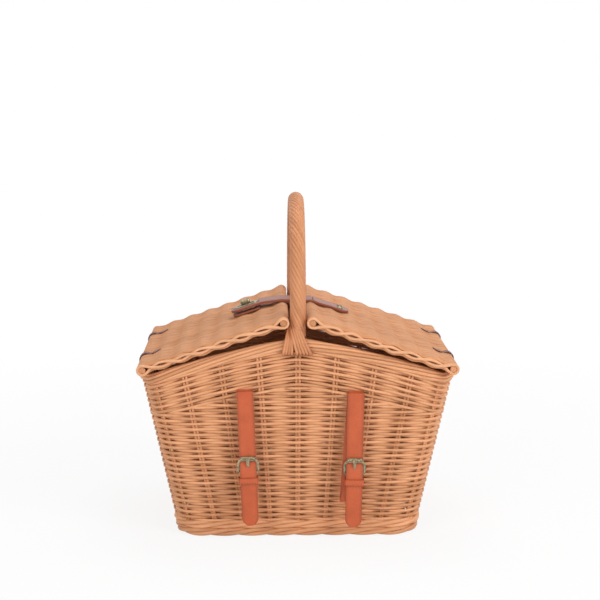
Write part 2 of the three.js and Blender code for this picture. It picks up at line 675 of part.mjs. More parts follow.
function buildTurnLock() {
  const patch = roundedRectangle(PATCH_END_U - PATCH_START_U, PATCH_WIDTH, PATCH_WIDTH / 5);
  addNode(leftLid, 'turn_lock_patch', slab(patch, PATCH_THICKNESS, XY_PLANE)
    .translate((PATCH_START_U + PATCH_END_U) / 2, 0, PATCH_TOP - PATCH_THICKNESS / 2), brownLeather);
  const plate = slab(slotShape(LOCK_PLATE_LENGTH, LOCK_PLATE_WIDTH), LOCK_PLATE_THICKNESS, XY_PLANE)
    .translate(LOCK_U, 0, LOCK_PLATE_TOP - LOCK_PLATE_THICKNESS / 2);
  const postTop = EYELET_TOP + CLEARANCE;
  const postBottom = PATCH_TOP + 2 * CLEARANCE;
  const postLength = postTop - postBottom;
  const post = new THREE.CylinderGeometry(LOCK_POST_RADIUS, LOCK_POST_RADIUS, postLength, ROUND_SIDES)
    .rotateX(Math.PI / 2)
    .translate(LOCK_U, 0, postBottom + postLength / 2);
  addNode(leftLid, 'turn_lock_base', join(plate, post), antiqueMetal);
  const button = slab(slotShape(BUTTON_LENGTH, BUTTON_WIDTH), BUTTON_HEIGHT, XY_PLANE)
    .translate(LOCK_U, 0, postTop + CLEARANCE + BUTTON_HEIGHT / 2);
  addNode(leftLid, 'turn_button', button, antiqueMetal);
}

// Blanket strap, in a frame at its slot on the wall's outer face: Y towards the wall, Z up.
const REAR_Y = -STRAP_STAND_OFF - STRAP_THICKNESS / 2;
const FRONT_Y = REAR_Y - STRAP_THICKNESS - CLEARANCE;
const BUCKLE_BACK = FRONT_Y - STRAP_THICKNESS / 2 - BUCKLE_LAY_GAP;
const BUCKLE_Y = BUCKLE_BACK - BUCKLE_BAR / 2;
const OVER_Y = BUCKLE_BACK - BUCKLE_BAR - BUCKLE_LAY_GAP - STRAP_THICKNESS / 2;
const RETURN_Y = REAR_Y - 2 * REAR_TURN;
const TAIL_Y = RETURN_Y - STRAP_THICKNESS - CLEARANCE;
const HEEL_Z = -BUCKLE_TOP - BUCKLE_HEIGHT + BUCKLE_BAR / 2;
const KEEPER_Z = HEEL_Z - BUCKLE_BAR / 2 - KEEPER_DROP - KEEPER_HEIGHT / 2;

function blanketStrap(side, group) {
  const bend = BUCKLE_BAR + STRAP_THICKNESS;
  const front = ribbonShape(pointsOf(
    [FRONT_Y, 0], [FRONT_Y, -BUCKLE_TOP - BUCKLE_BAR], [OVER_Y, HEEL_Z + BUCKLE_BAR],
    [OVER_Y, HEEL_Z - BUCKLE_BAR], [TAIL_Y - TAIL_LIFT, KEEPER_Z - KEEPER_HEIGHT - bend],
    [TAIL_Y, -STRAP_LENGTH]), STRAP_THICKNESS);
  const half = STRAP_WIDTH / 2;
  const tip = new THREE.Shape();
  tip.moveTo(half, STRAP_WIDTH);
  tip.lineTo(-half, STRAP_WIDTH);
  tip.absarc(0, half - STRAP_LENGTH, half, Math.PI, 2 * Math.PI, false);
  tip.closePath();
  const blankDepth = 8 * bend;
  const blank = slab(tip, blankDepth, XZ_PLANE, ROUND_SIDES);
  const prongSlotTop = -BUCKLE_TOP - BUCKLE_BAR;
  const prongSlotBottom = HEEL_Z - BUCKLE_BAR;
  const prongSlot = box(PRONG_SLOT, blankDepth, prongSlotTop - prongSlotBottom, 0, 0,
    (prongSlotTop + prongSlotBottom) / 2);
  const strip = common(slab(front, STRAP_WIDTH, YZ_PLANE), blank);
  addNode(group, `${side}_blanket_strap`, cut(strip, prongSlot), tanLeather);

  const rear = ribbonShape(pointsOf(
    [REAR_Y, 0], [REAR_Y, REAR_TURN - REAR_DROP], [REAR_Y - REAR_TURN / 2, -REAR_DROP],
    [RETURN_Y + REAR_TURN / 2, -REAR_DROP], [RETURN_Y, REAR_TURN - REAR_DROP],
    [RETURN_Y, HEEL_Z - BUCKLE_BAR / 2 - CLEARANCE]), STRAP_THICKNESS);
  addNode(group, `${side}_rear_strap`, slab(rear, STRAP_WIDTH, YZ_PLANE), tanLeather);

  const frame = roundedRectangle(BUCKLE_WIDTH, BUCKLE_HEIGHT, BUCKLE_CORNER);
  frame.holes.push(roundedRectangle(BUCKLE_WIDTH - 2 * BUCKLE_BAR, BUCKLE_HEIGHT - 2 * BUCKLE_BAR,
    BUCKLE_CORNER - BUCKLE_BAR, THREE.Path));
  addNode(group, `${side}_buckle_frame`, slab(frame, BUCKLE_BAR, XZ_PLANE)
    .translate(0, BUCKLE_Y, -BUCKLE_TOP - BUCKLE_HEIGHT / 2), antiqueMetal);

  const keeperBack = REAR_Y + STRAP_THICKNESS / 2 + CLEARANCE;
  const keeperFront = OVER_Y - STRAP_THICKNESS / 2 - CLEARANCE;
  const openWidth = STRAP_WIDTH + 4 * CLEARANCE;
  const openDepth = keeperBack - keeperFront;
  const keeper = roundedRectangle(openWidth + 2 * KEEPER_WALL, openDepth + 2 * KEEPER_WALL, KEEPER_WALL);
  keeper.holes.push(roundedRectangle(openWidth, openDepth, CLEARANCE, THREE.Path));
  addNode(group, `${side}_strap_keeper`, slab(keeper, KEEPER_HEIGHT, XY_PLANE)
    .translate(0, (keeperBack + keeperFront) / 2, KEEPER_Z), tanLeather);

  const prongFront = BUCKLE_BACK - BUCKLE_BAR - CLEARANCE - PRONG_SIZE / 2;
  const prong = ribbonShape(pointsOf(
    [BUCKLE_Y, HEEL_Z + BUCKLE_BAR / 2 + PRONG_ROOT_GAP], [BUCKLE_Y, HEEL_Z + 2 * BUCKLE_BAR],
    [prongFront, -BUCKLE_TOP - 2 * BUCKLE_BAR], [prongFront, -BUCKLE_TOP]), PRONG_SIZE);
  addNode(group, `${side}_buckle_prong`, slab(prong, PRONG_SIZE, YZ_PLANE), antiqueMetal);
}

// The strap's root inside the basket: a tongue through the wall and a tab lying against its inner face.
function strapAnchor(side, group) {
  const tabY = WALL + CLEARANCE * 2 + STRAP_THICKNESS / 2;
  const anchor = ribbonShape(pointsOf(
    [CLEARANCE * 2 - STRAP_STAND_OFF, 0], [tabY, 0],
    [tabY - FRONT_FLARE * STRAP_TAB_HEIGHT, STRAP_TAB_HEIGHT]), STRAP_THICKNESS);
  addNode(group, `${side}_strap_anchor`, slab(anchor, STRAP_WIDTH, YZ_PLANE), tanLeather);
}

function buildBlanketStraps() {
  STRAPS.forEach(({ side, x, z, lean }) => {
    const slot = new THREE.Group();
    slot.position.set(x, -halfDepthAt(z), z);
    basket.add(slot);
    strapAnchor(side, slot);
    const hanging = new THREE.Group();
    hanging.rotation.y = lean;
    slot.add(hanging);
    blanketStrap(side, hanging);
  });
}

buildBody();
buildHandle();
buildLid('left', leftLid, -1);
buildLid('right', rightLid, 1);
buildThongs('left', -1);
buildThongs('right', 1);
buildRidgeStrap();
buildTurnLock();
buildBlanketStraps();

export default basket;
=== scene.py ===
"""Weaves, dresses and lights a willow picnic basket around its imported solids.

Sizes in the code are millimetres in the basket's own frame, and meshes are written in metres.
"""

import math

import bpy
import numpy as np
from bpy.props import FloatProperty, FloatVectorProperty, IntProperty, PointerProperty
from mathutils import Matrix, Vector


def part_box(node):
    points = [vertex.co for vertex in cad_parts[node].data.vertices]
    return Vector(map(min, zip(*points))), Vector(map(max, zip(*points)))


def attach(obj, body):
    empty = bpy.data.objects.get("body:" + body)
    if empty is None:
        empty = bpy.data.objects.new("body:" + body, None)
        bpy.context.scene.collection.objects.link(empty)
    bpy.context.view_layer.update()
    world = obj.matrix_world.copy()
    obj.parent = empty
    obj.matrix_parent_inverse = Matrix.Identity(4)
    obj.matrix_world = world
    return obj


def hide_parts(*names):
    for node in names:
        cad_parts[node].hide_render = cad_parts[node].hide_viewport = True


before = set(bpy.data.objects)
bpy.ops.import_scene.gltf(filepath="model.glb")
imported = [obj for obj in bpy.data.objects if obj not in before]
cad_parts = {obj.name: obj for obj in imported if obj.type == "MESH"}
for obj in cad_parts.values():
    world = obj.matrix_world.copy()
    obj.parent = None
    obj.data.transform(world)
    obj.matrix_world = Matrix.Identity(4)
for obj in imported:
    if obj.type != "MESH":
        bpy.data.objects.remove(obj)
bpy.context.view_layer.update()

bl_info = {
    "name": "Picnic Basket",
    "version": (1, 0, 0),
    "blender": (4, 5, 0),
    "location": "View3D > Sidebar > Basket",
    "description": "Weaves and dresses a willow picnic basket around its packed solids",
    "category": "Add Mesh",
}

MM = 0.001

# The basket's body, as its solids have it
FOOT_HEIGHT = 22.0
BASE_HALF_WIDTH = 160.5
BASE_HALF_DEPTH = 118.0
EAVE_HALF_WIDTH = 198.0
PEAK_HALF_DEPTH = 140.0
CORNER_RADIUS = 40.0
WALL = 7.0
RIM_SIZE = 16.0
RIM_PROUD = 1.5
RIM_TOP_EAVE = 216.0
GABLE_RISE = 47.0
GABLE_CURVE = 1.25
GABLE_HALF_WIDTH = 186.0
RIM_BOTTOM_EAVE = RIM_TOP_EAVE - RIM_SIZE
RIM_TOP_PEAK = RIM_TOP_EAVE + GABLE_RISE
SIDE_FLARE = (EAVE_HALF_WIDTH - BASE_HALF_WIDTH) / (RIM_BOTTOM_EAVE - FOOT_HEIGHT)
FRONT_FLARE = (PEAK_HALF_DEPTH - BASE_HALF_DEPTH) / (RIM_TOP_PEAK - RIM_SIZE - FOOT_HEIGHT)

# The lids: u runs up the slope from the hinge stick, v stands out of the lid
HINGE_X = 195.0
HINGE_Z = 224.0
LID_SLOPE = math.radians(18.5)
STICK_COUNT = 8
STICK_PITCH = 26.6
STICK_HALF_LENGTH = 146.0
BULGE_RADIUS = 7.5
VALLEY_HALF = 4.0
LID_REACH = (STICK_COUNT - 1) * STICK_PITCH
THONG_SPOTS = {"front": -68.0, "back": 80.0}
THONG_NOTCH_HALF = 7.1

# The bow handle
HANDLE_RADIUS = 10.2
HANDLE_HALF_SPAN = 128.86
HANDLE_SPRING_Z = 295.0
HANDLE_BOW_RISE = 129.8
HANDLE_BOTTOM = RIM_TOP_PEAK

LIDS = {"left": -1, "right": 1}


def srgb(red, green, blue):
    """A colour picked on a 0 to 255 scale, as linear light."""
    return tuple(
        (c / 255 / 12.92) if c / 255 <= 0.04045 else ((c / 255 + 0.055) / 1.055) ** 2.4
        for c in (red, green, blue)
    )


def length_prop(name, description, millimetres):
    return FloatProperty(
        name=name, description=description, default=millimetres * MM, min=0.1 * MM,
        unit="LENGTH", subtype="DISTANCE", precision=4,
    )


def colour_prop(name, description, red, green, blue):
    return FloatVectorProperty(
        name=name, description=description, default=srgb(red, green, blue),
        subtype="COLOR", size=3, min=0.0, max=1.0,
    )


class BasketSizes(bpy.types.PropertyGroup):
    """Sizes of the rods and straps that a maker would change."""

    weaver: length_prop("Weaver", "Thickness of the rods woven round the wall", 4.1)
    row_pitch: length_prop("Row pitch", "Height of one row of weaving", 3.6)
    stake: length_prop("Stake", "Thickness of the upright rods, which stand in pairs", 3.6)
    stake_pairs: IntProperty(
        name="Stake pairs", description="Pairs of stakes round the basket", default=28, min=12, step=2)
    lid_weaver: length_prop("Lid weaver", "Thickness of the rods woven over the lid sticks", 2.3)
    lid_pitch: length_prop("Lid pitch", "Distance between neighbouring lid weavers", 2.1)
    edge_strand: length_prop("Edge strand", "Thickness of the pale strands along the lid ends", 3.4)
    rim_strand: length_prop("Rim strand", "Thickness of the strands of the rim", 4.4)
    foot_strand: length_prop("Foot strand", "Thickness of the strands of the foot", 5.6)
    handle_strand: length_prop("Handle strand", "Thickness of the strands wound round the bow", 5.0)
    handle_strands: IntProperty(
        name="Handle strands", description="Strands wound side by side round the bow", default=12, min=6)
    handle_lay: length_prop("Handle lay", "Length of the bow for one full turn of a strand", 105.0)


class BasketColours(bpy.types.PropertyGroup):
    """Finishes of the basket's materials."""

    willow: colour_prop("Willow", "Peeled willow of the wall, rim and handle", 234, 172, 126)
    handle_willow: colour_prop("Handle willow", "Smooth willow wound round the bow", 215, 148, 104)
    lid_willow: colour_prop("Lid willow", "Finer willow of the lids", 219, 157, 111)
    edge_willow: colour_prop("Edge willow", "Pale strands along the lid ends", 232, 174, 130)
    core_willow: colour_prop("Core willow", "Cut sticks and the core of the bow", 222, 158, 114)
    strap_leather: colour_prop("Strap leather", "Tan leather of the blanket straps", 211, 100, 55)
    ridge_leather: colour_prop("Ridge leather", "Mauve-brown leather of the ridge strap", 168, 120, 110)
    ridge_edge: colour_prop("Ridge edge", "Orange-brown cut edge of the ridge strap", 158, 86, 62)
    thong_leather: colour_prop("Thong leather", "Dark leather of the hinge thongs", 134, 80, 66)
    metal: colour_prop("Metal", "Antique finish of the buckles and the lock", 158, 148, 120)
    floor: colour_prop("Floor", "Studio floor", 250, 250, 250)


# The plan of the wall, and rods


def half_width(z):
    """Half the width over the wall's outer faces at a height."""
    return BASE_HALF_WIDTH + SIDE_FLARE * (z - FOOT_HEIGHT)


def half_depth(z):
    """Half the depth over the wall's outer faces at a height."""
    return BASE_HALF_DEPTH + FRONT_FLARE * (z - FOOT_HEIGHT)


def plan_marks():
    """The shares of the way round at which straight and round runs meet, and the whole way round."""
    middle = (FOOT_HEIGHT + RIM_BOTTOM_EAVE) / 2
    front = half_width(middle) - CORNER_RADIUS
    side = 2 * (half_depth(middle) - CORNER_RADIUS)
    corner = math.pi * CORNER_RADIUS / 2
    runs = np.array([front, corner, side, corner, 2 * front, corner, side, corner, front])
    return np.concatenate([[0.0], np.cumsum(runs)]) / runs.sum(), runs.sum()


PLAN_MARKS, PERIMETER = plan_marks()


def plan_points(share, z, outwards):
    """Points round the basket at heights z, moved outwards from the wall's outer face.

    The share of the way round starts in the middle of the front and goes to the right.
    """
    share, z, outwards = np.broadcast_arrays(np.asarray(share, float) % 1.0, z, outwards)
    a = half_width(z) + outwards
    b = half_depth(z) + outwards
    r = CORNER_RADIUS + outwards
    run = np.clip(np.searchsorted(PLAN_MARKS, share, side="right") - 1, 0, 8)
    t = (share - PLAN_MARKS[run]) / (PLAN_MARKS[run + 1] - PLAN_MARKS[run])
    turn = np.choose(run, [0, t - 1, 0, t, 0, t + 1, 0, t + 2, 0]) * math.pi / 2
    right, left = (a - r) + r * np.cos(turn), -(a - r) + r * np.cos(turn)
    near, far = -(b - r) + r * np.sin(turn), (b - r) + r * np.sin(turn)
    back = (1 - 2 * t) * (a - r)
    x = np.choose(run, [t * (a - r), right, a, right, back, left, -a, left, (t - 1) * (a - r)])
    y = np.choose(run, [-b, near, (2 * t - 1) * (b - r), far, b, far, (1 - 2 * t) * (b - r), near, -b])
    return np.stack([x, y, z], axis=-1)


def gable_x(share):
    return np.abs(plan_points(share, RIM_BOTTOM_EAVE, 0.0)[..., 0])


def rim_top(share):
    """The height of the rim, which climbs to a peak at the front and the back."""
    reach = np.minimum(gable_x(share) / GABLE_HALF_WIDTH, 1.0)
    return RIM_TOP_EAVE + GABLE_RISE * (1 - reach**GABLE_CURVE)


def unit(vectors):
    return vectors / np.linalg.norm(vectors, axis=-1, keepdims=True)


class Rods:
    """Round rods gathered into one mesh, with a tint for each rod and a UV map along the grain."""

    grain_per_metre = 10

    def __init__(self, sides, seed):
        self.sides = sides
        self.random = np.random.default_rng(seed)
        self.points, self.corners, self.counts, self.uvs, self.tints = [], [], [], [], []
        self.made = 0

    def add(self, path, radius, up, closed=False, tint=None):
        """Adds a rod along a path, with its seam on the up side, and with flat ends unless it is closed."""
        path = np.asarray(path, float)
        count, sides = len(path), self.sides
        ahead = np.roll(path, -1, 0) - np.roll(path, 1, 0) if closed else np.gradient(path, axis=0)
        along = unit(ahead)
        across = unit(np.cross(along, np.broadcast_to(np.asarray(up, float), path.shape)))
        lift = np.cross(across, along)
        turn = 2 * math.pi * np.arange(sides) / sides
        cos, sin = np.cos(turn)[None, :, None], np.sin(turn)[None, :, None]
        spokes = cos * lift[:, None, :] + sin * across[:, None, :]
        rings = path[:, None, :] + np.broadcast_to(radius, count)[:, None, None] * spokes
        spans = count if closed else count - 1
        i, j = np.arange(spans)[:, None], np.arange(sides)[None, :]
        n, k = (i + 1) % count, (j + 1) % sides
        quads = np.stack([i * sides + j, i * sides + k, n * sides + k, n * sides + j], axis=-1)
        steps = np.linalg.norm(np.diff(path, axis=0, append=path[:1]), axis=1)
        run = np.concatenate([[0.0], np.cumsum(steps)]) * MM * self.grain_per_metre
        low, high, start, end = np.broadcast_arrays(j / sides, (j + 1) / sides, run[i], run[i + 1])
        uv = np.stack([low, start, high, start, high, end, low, end], axis=-1)
        self.points.append(rings.reshape(-1, 3))
        self.corners.append(self.made + quads.reshape(-1))
        self.counts.append(np.full(spans * sides, 4))
        self.uvs.append(uv.reshape(-1))
        if not closed:
            first = self.made + np.arange(sides)
            last = first + (count - 1) * sides
            self.corners += [first[::-1], last]
            self.counts.append(np.array([sides, sides]))
            self.uvs.append(np.full(4 * sides, 0.5))
        tint = self.random.random() if tint is None else tint
        self.tints.append(np.full(count * sides, tint))
        self.made += count * sides

    def finish(self, name, material):
        """Makes one object of the gathered rods."""
        points = np.concatenate(self.points) * MM
        corners = np.concatenate(self.corners)
        counts = np.concatenate(self.counts)
        mesh = bpy.data.meshes.new(name)
        mesh.vertices.add(len(points))
        mesh.vertices.foreach_set("co", points.astype(np.float32).ravel())
        mesh.loops.add(len(corners))
        mesh.loops.foreach_set("vertex_index", corners.astype(np.int32))
        mesh.polygons.add(len(counts))
        mesh.polygons.foreach_set("loop_start", (np.cumsum(counts) - counts).astype(np.int32))
        mesh.polygons.foreach_set("use_smooth", counts == 4)
        mesh.uv_layers.new(name="grain").uv.foreach_set("vector", np.concatenate(self.uvs).astype(np.float32))
        tint = mesh.attributes.new("tint", "FLOAT", "POINT")
        tint.data.foreach_set("value", np.concatenate(self.tints).astype(np.float32))
        mesh.update(calc_edges=True)
        mesh.validate()
        mesh.materials.append(material)
        piece = bpy.data.objects.new(name, mesh)
        bpy.context.scene.collection.objects.link(piece)
        return piece


def settle(piece, body, slot, *nodes):
    """Puts a finished piece on its body, in place of the solids that it stands for."""
    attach(piece, body)
    if nodes:
        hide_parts(*nodes)


def lid_points(side, u, y, v):
    """Points of a lid's own frame, in the basket's frame."""
    u, y, v = np.broadcast_arrays(np.asarray(u, float), y, v)
    x = HINGE_X - u * math.cos(LID_SLOPE) + v * math.sin(LID_SLOPE)
    return np.stack([side * x, y, HINGE_Z + u * math.sin(LID_SLOPE) + v * math.cos(LID_SLOPE)], axis=-1)


# Materials


def adder(tree):
    """A function that adds a node to a tree, with its inputs set to values or linked to sockets."""

    def add(kind, inputs=None, **settings):
        node = tree.nodes.new(kind)
        for key, value in settings.items():
            setattr(node, key, value)
        for key, value in (inputs or {}).items():
            if isinstance(value, bpy.types.NodeSocket):
                tree.links.new(value, node.inputs[key])
            else:
                node.inputs[key].default_value = value
        return node

    return add


def shader(name, colour):
    """A new material, its Principled shader, and functions that add nodes and link them to that shader."""
    material = bpy.data.materials.new(name)
    material.use_nodes = True
    tree = material.node_tree
    surface = tree.nodes["Principled BSDF"]
    surface.inputs["Base Color"].default_value = (*colour, 1)

    def link(socket, key):
        tree.links.new(socket, surface.inputs[key])

    return material, surface, adder(tree), link


def scaled(colour, factor):
    """A colour made lighter or darker."""
    return tuple(min(c * factor, 1.0) for c in colour)


def ramp(add, factor, stops):
    """A colour that follows a factor from one stop to the next."""
    node = add("ShaderNodeValToRGB", {"Fac": factor})
    elements = node.color_ramp.elements
    while len(elements) < len(stops):
        elements.new(0.5)
    for element, (place, colour) in zip(elements, stops):
        element.position = place
        element.color = (*colour, 1)
    return node.outputs["Color"]


def multiply(add, factor, a, b):
    """Colour a, darkened by a share of colour b."""
    node = add("ShaderNodeMix", data_type="RGBA", blend_type="MULTIPLY")
    node.inputs["Factor"].default_value = factor
    for key, value in (("A", a), ("B", b)):
        socket = next(s for s in node.inputs if s.name == key and s.type == "RGBA")
        node.id_data.links.new(value, socket)
    return next(s for s in node.outputs if s.type == "RGBA")


def relief(add, link, pattern, rough, height, strength, distance):
    """Roughness that follows a pattern between two values, and a bump of a height."""
    ranged = add("ShaderNodeMapRange", {"Value": pattern, "To Min": rough[0], "To Max": rough[1]})
    link(ranged.outputs["Result"], "Roughness")
    bump = add("ShaderNodeBump", {"Height": height, "Strength": strength, "Distance": distance})
    link(bump.outputs["Normal"], "Normal")


def willow(name, colour, spread, streaky):
    """Peeled willow: each rod has its own tone, long grain streaks, darker patches and a soft shine."""
    material, surface, add, link = shader(name, colour)
    tint = add("ShaderNodeAttribute", attribute_name="tint").outputs["Fac"]
    tone = ramp(add, tint, [
        (0.0, scaled((colour[0], colour[1] * 0.95, colour[2] * 0.88), 1 - spread)),
        (0.5, colour), (1.0, scaled(colour, 1 + spread * 0.7))])
    grain = add("ShaderNodeUVMap", uv_map="grain").outputs["UV"]
    long_grain = add("ShaderNodeMapping", {"Vector": grain, "Scale": (9.0, 2.2, 1.0)}).outputs["Vector"]
    moved = add("ShaderNodeVectorMath", {0: long_grain, 1: add("ShaderNodeCombineXYZ", {
        "Z": add("ShaderNodeMath", {0: tint, 1: 40.0}, operation="MULTIPLY").outputs[0]}).outputs[0]})
    streaks = add("ShaderNodeTexNoise", {
        "Vector": moved.outputs[0], "Scale": 1.6, "Detail": 5.0, "Roughness": 0.6}).outputs["Fac"]
    streak_tone = ramp(add, streaks, [
        (0.28, (0.66, 0.60, 0.52)), (0.5, (0.97, 0.96, 0.95)), (0.75, (1, 1, 1))])
    place = add("ShaderNodeTexCoord").outputs["Object"]
    patches = add("ShaderNodeTexNoise", {"Vector": place, "Scale": 22.0, "Detail": 3.0}).outputs["Fac"]
    patch_tone = ramp(add, patches, [(0.3, (0.86, 0.80, 0.74)), (0.55, (1, 1, 1))])
    link(multiply(add, 0.5, multiply(add, 0.8 * streaky, tone, streak_tone), patch_tone), "Base Color")
    rough = (0.52 + 0.1 * streaky, 0.52 - 0.1 * streaky)
    relief(add, link, streaks, rough, streaks, 0.35 * streaky, 0.4 * MM)
    surface.inputs["Specular IOR Level"].default_value = 0.4
    return material


def leather(name, colour, edge, grain_scale):
    """Leather: pebbled grain, uneven dye, and a burnished tone along the cut edges where the tint says."""
    material, _, add, link = shader(name, colour)
    place = add("ShaderNodeTexCoord").outputs["Object"]
    pebbles = add("ShaderNodeTexVoronoi", {"Vector": place, "Scale": grain_scale}).outputs["Distance"]
    fine = add("ShaderNodeTexNoise", {
        "Vector": place, "Scale": grain_scale * 0.6, "Detail": 4.0}).outputs["Fac"]
    dye = add("ShaderNodeTexNoise", {"Vector": place, "Scale": 45.0, "Detail": 3.0}).outputs["Fac"]
    worn = add("ShaderNodeAttribute", attribute_name="tint").outputs["Fac"]
    body = ramp(add, worn, [(0.0, colour), (1.0, edge)])
    dye_tone = ramp(add, dye, [(0.3, (0.84, 0.80, 0.78)), (0.6, (1, 1, 1))])
    pebble_tone = ramp(add, pebbles, [(0.0, (1, 1, 1)), (0.75, (0.80, 0.76, 0.74))])
    link(multiply(add, 0.7, multiply(add, 0.8, body, dye_tone), pebble_tone), "Base Color")
    height = add("ShaderNodeMath", {0: fine, 1: pebbles}, operation="SUBTRACT").outputs[0]
    relief(add, link, fine, (0.38, 0.6), height, 0.3, 0.4 * MM)
    return material


def antique_metal(name, colour):
    """Worn metal: a fine mottle of dark patina and bright rubbed places, which the polish follows."""
    material, surface, add, link = shader(name, colour)
    place = add("ShaderNodeTexCoord").outputs["Object"]
    patina = add("ShaderNodeTexNoise", {"Vector": place, "Scale": 420.0, "Detail": 4.0}).outputs["Fac"]
    tone = ramp(add, patina, [(0.32, scaled(colour, 0.28)), (0.5, colour), (0.72, scaled(colour, 1.35))])
    link(tone, "Base Color")
    relief(add, link, patina, (0.5, 0.25), patina, 0.2, 0.2 * MM)
    surface.inputs["Metallic"].default_value = 1.0
    return material


def finish(kind):
    """The named finish, made when it is first asked for."""
    name = f"basket_{kind}"
    found = bpy.data.materials.get(name)
    if found:
        return found
    colours = bpy.context.scene.basket_colours
    colour = tuple(getattr(colours, kind))
    if kind == "metal":
        return antique_metal(name, colour)
    if kind.endswith("willow"):
        return willow(name, colour, spread=0.16, streaky=0.25 if kind == "handle_willow" else 1.0)
    edge = tuple(colours.ridge_edge) if kind == "ridge_leather" else scaled(colour, 0.72)
    return leather(name, colour, edge, grain_scale=900.0)


# Woven pieces


class BASKET_OT_wall(bpy.types.Operator):
    """Weave the wall: pairs of stakes, level rows that fill the gables, and a band that follows the rim"""

    bl_idname = "basket.wall"
    bl_label = "Weave Wall"

    middle = -4.3
    first_row = 24.0
    grip = 1.1
    wander = 0.2
    press = 1.5
    fullest = 1.12
    fuller_between = 0.18
    fuller_at_back = 0.28
    back_blend = 60.0
    band_rows = 13
    band_tuck = 4.0
    band_share = 0.93
    band_growth = 0.2
    least_room = -2.2
    tip_room = -2.6
    taper_from = -4.0
    taper_run = 3.2
    thinnest = 0.4
    stake_points = 12
    stake_root = 6.0
    stake_spread = 0.98
    steps = 6

    def execute(self, context):
        sizes = context.scene.basket_sizes
        self.pairs = sizes.stake_pairs
        self.pitch = sizes.row_pitch / MM
        self.radius = sizes.weaver / MM / 2
        self.stake_radius = sizes.stake / MM / 2
        self.sway = self.radius + self.stake_radius - self.grip
        self.share = np.arange(self.pairs * self.steps) / (self.pairs * self.steps)
        self.band_top = rim_top(self.share) - RIM_SIZE + self.band_tuck
        rise = (rim_top(self.share) - RIM_TOP_EAVE) / GABLE_RISE
        self.band_pitch = self.pitch * (self.band_share + self.band_growth * rise)
        rods = Rods(6, seed=11)
        self.add_stakes(rods)
        rows = self.add_level_rows(rods)
        self.add_band(rods, rows)
        settle(rods.finish("wall_weave", finish("willow")), "basket", "willow", "woven_wall")
        return {"FINISHED"}

    def add_stakes(self, rods):
        """Pairs of upright rods, from inside the foot to inside the rim."""
        spread = self.stake_radius * self.stake_spread / PERIMETER
        for pair in range(self.pairs):
            for side in (-1, 1):
                share = pair / self.pairs + side * spread
                top = float(rim_top(share)) - RIM_SIZE / 2
                z = np.linspace(FOOT_HEIGHT - self.stake_root, top, self.stake_points)
                path = plan_points(share, z, self.middle)
                rods.add(path, self.stake_radius, unit(path[:1] * (1, 1, 0)))

    def woven(self, rods, z, row):
        """A rod's path, in front of one stake pair and behind the next, and its radius along it."""
        waves = rods.random.integers(2, 11, 3)
        starts = rods.random.random(3)
        wander = sum(self.wander * np.sin(2 * math.pi * (k * self.share + s)) for k, s in zip(waves, starts))
        beat = np.cos(math.pi * (self.pairs * self.share + row))
        out = self.middle + self.sway * np.sign(beat) * np.abs(beat) ** self.press
        path = plan_points(self.share, z + wander, out)
        at_back = np.clip(path[:, 1] / self.back_blend + 0.5, 0, 1)
        full = self.fullest - self.fuller_between * np.abs(beat) + self.fuller_at_back * at_back
        return path, self.radius * full

    def add_level_rows(self, rods):
        """Full rows up to the band's lowest place, then short ones on both gables under the band."""
        space = self.band_top - self.band_rows * self.band_pitch
        row = -1
        while True:
            z = self.first_row + (row + 0.5) * self.pitch
            path, radius = self.woven(rods, z, row)
            room = space - z
            if room.max() < self.least_room:
                return row
            if room.min() > 0:
                rods.add(path, radius, (0, 0, 1), closed=True)
            else:
                for away in (0.0, 0.5):
                    turned = (self.share + away + 0.5) % 1.0
                    order = np.argsort(turned)
                    order = order[(room[order] > self.tip_room) & (np.abs(turned[order] - 0.5) < 0.25)]
                    taper = (room[order] - self.taper_from) / self.taper_run
                    thin = radius[order] * np.clip(taper, self.thinnest, 1.0)
                    if len(order) > 4:
                        rods.add(path[order], thin, (0, 0, 1))
            row += 1

    def add_band(self, rods, rows):
        """Rows that follow the rim, one above the other, up to where they tuck in under it."""
        for row in range(self.band_rows):
            z = self.band_top - (self.band_rows - row - 0.5) * self.band_pitch
            path, radius = self.woven(rods, z, rows + row)
            rods.add(path, radius, (0, 0, 1), closed=True)


def ring_rope(rods, count, turns, radius, middle, orbit, steps=336):
    """Strands that wind slowly round a middle line that follows the basket's plan."""
    share = np.arange(steps) / steps
    out, z = middle(share)
    for strand in range(count):
        turn = 2 * math.pi * (turns * share + strand / count)
        path = plan_points(share, z + orbit[1] * np.sin(turn), out + orbit[0] * np.cos(turn))
        rods.add(path, radius, (0, 0, 1), closed=True)


class BASKET_OT_borders(bpy.types.Operator):
    """Twist the rim along the gables and the thick foot round the base"""

    bl_idname = "basket.borders"
    bl_label = "Twist Borders"

    rim_strands = 8
    rim_turns = 3
    foot_levels = (0.27, 0.73)
    foot_strands = 3
    foot_turns = 9
    foot_middle = -3.0
    foot_swell = 2.4

    def execute(self, context):
        sizes = context.scene.basket_sizes
        radius = sizes.rim_strand / MM / 2
        orbit = RIM_SIZE / 2 - radius
        rods = Rods(8, seed=21)
        ring_rope(rods, self.rim_strands, self.rim_turns, radius,
                  lambda s: (RIM_PROUD - RIM_SIZE / 2, rim_top(s) - RIM_SIZE / 2), (orbit, orbit))
        settle(rods.finish("rim_weave", finish("willow")), "basket", "willow", "rim_border")
        radius = sizes.foot_strand / MM / 2
        rods = Rods(8, seed=22)
        orbit = self.foot_levels[0] * FOOT_HEIGHT - radius
        for level in self.foot_levels:
            ring_rope(rods, self.foot_strands, self.foot_turns, radius,
                      lambda s: (self.foot_middle, level * FOOT_HEIGHT), (self.foot_swell, orbit))
        settle(rods.finish("foot_weave", finish("willow")), "basket", "willow", "foot_border")
        return {"FINISHED"}


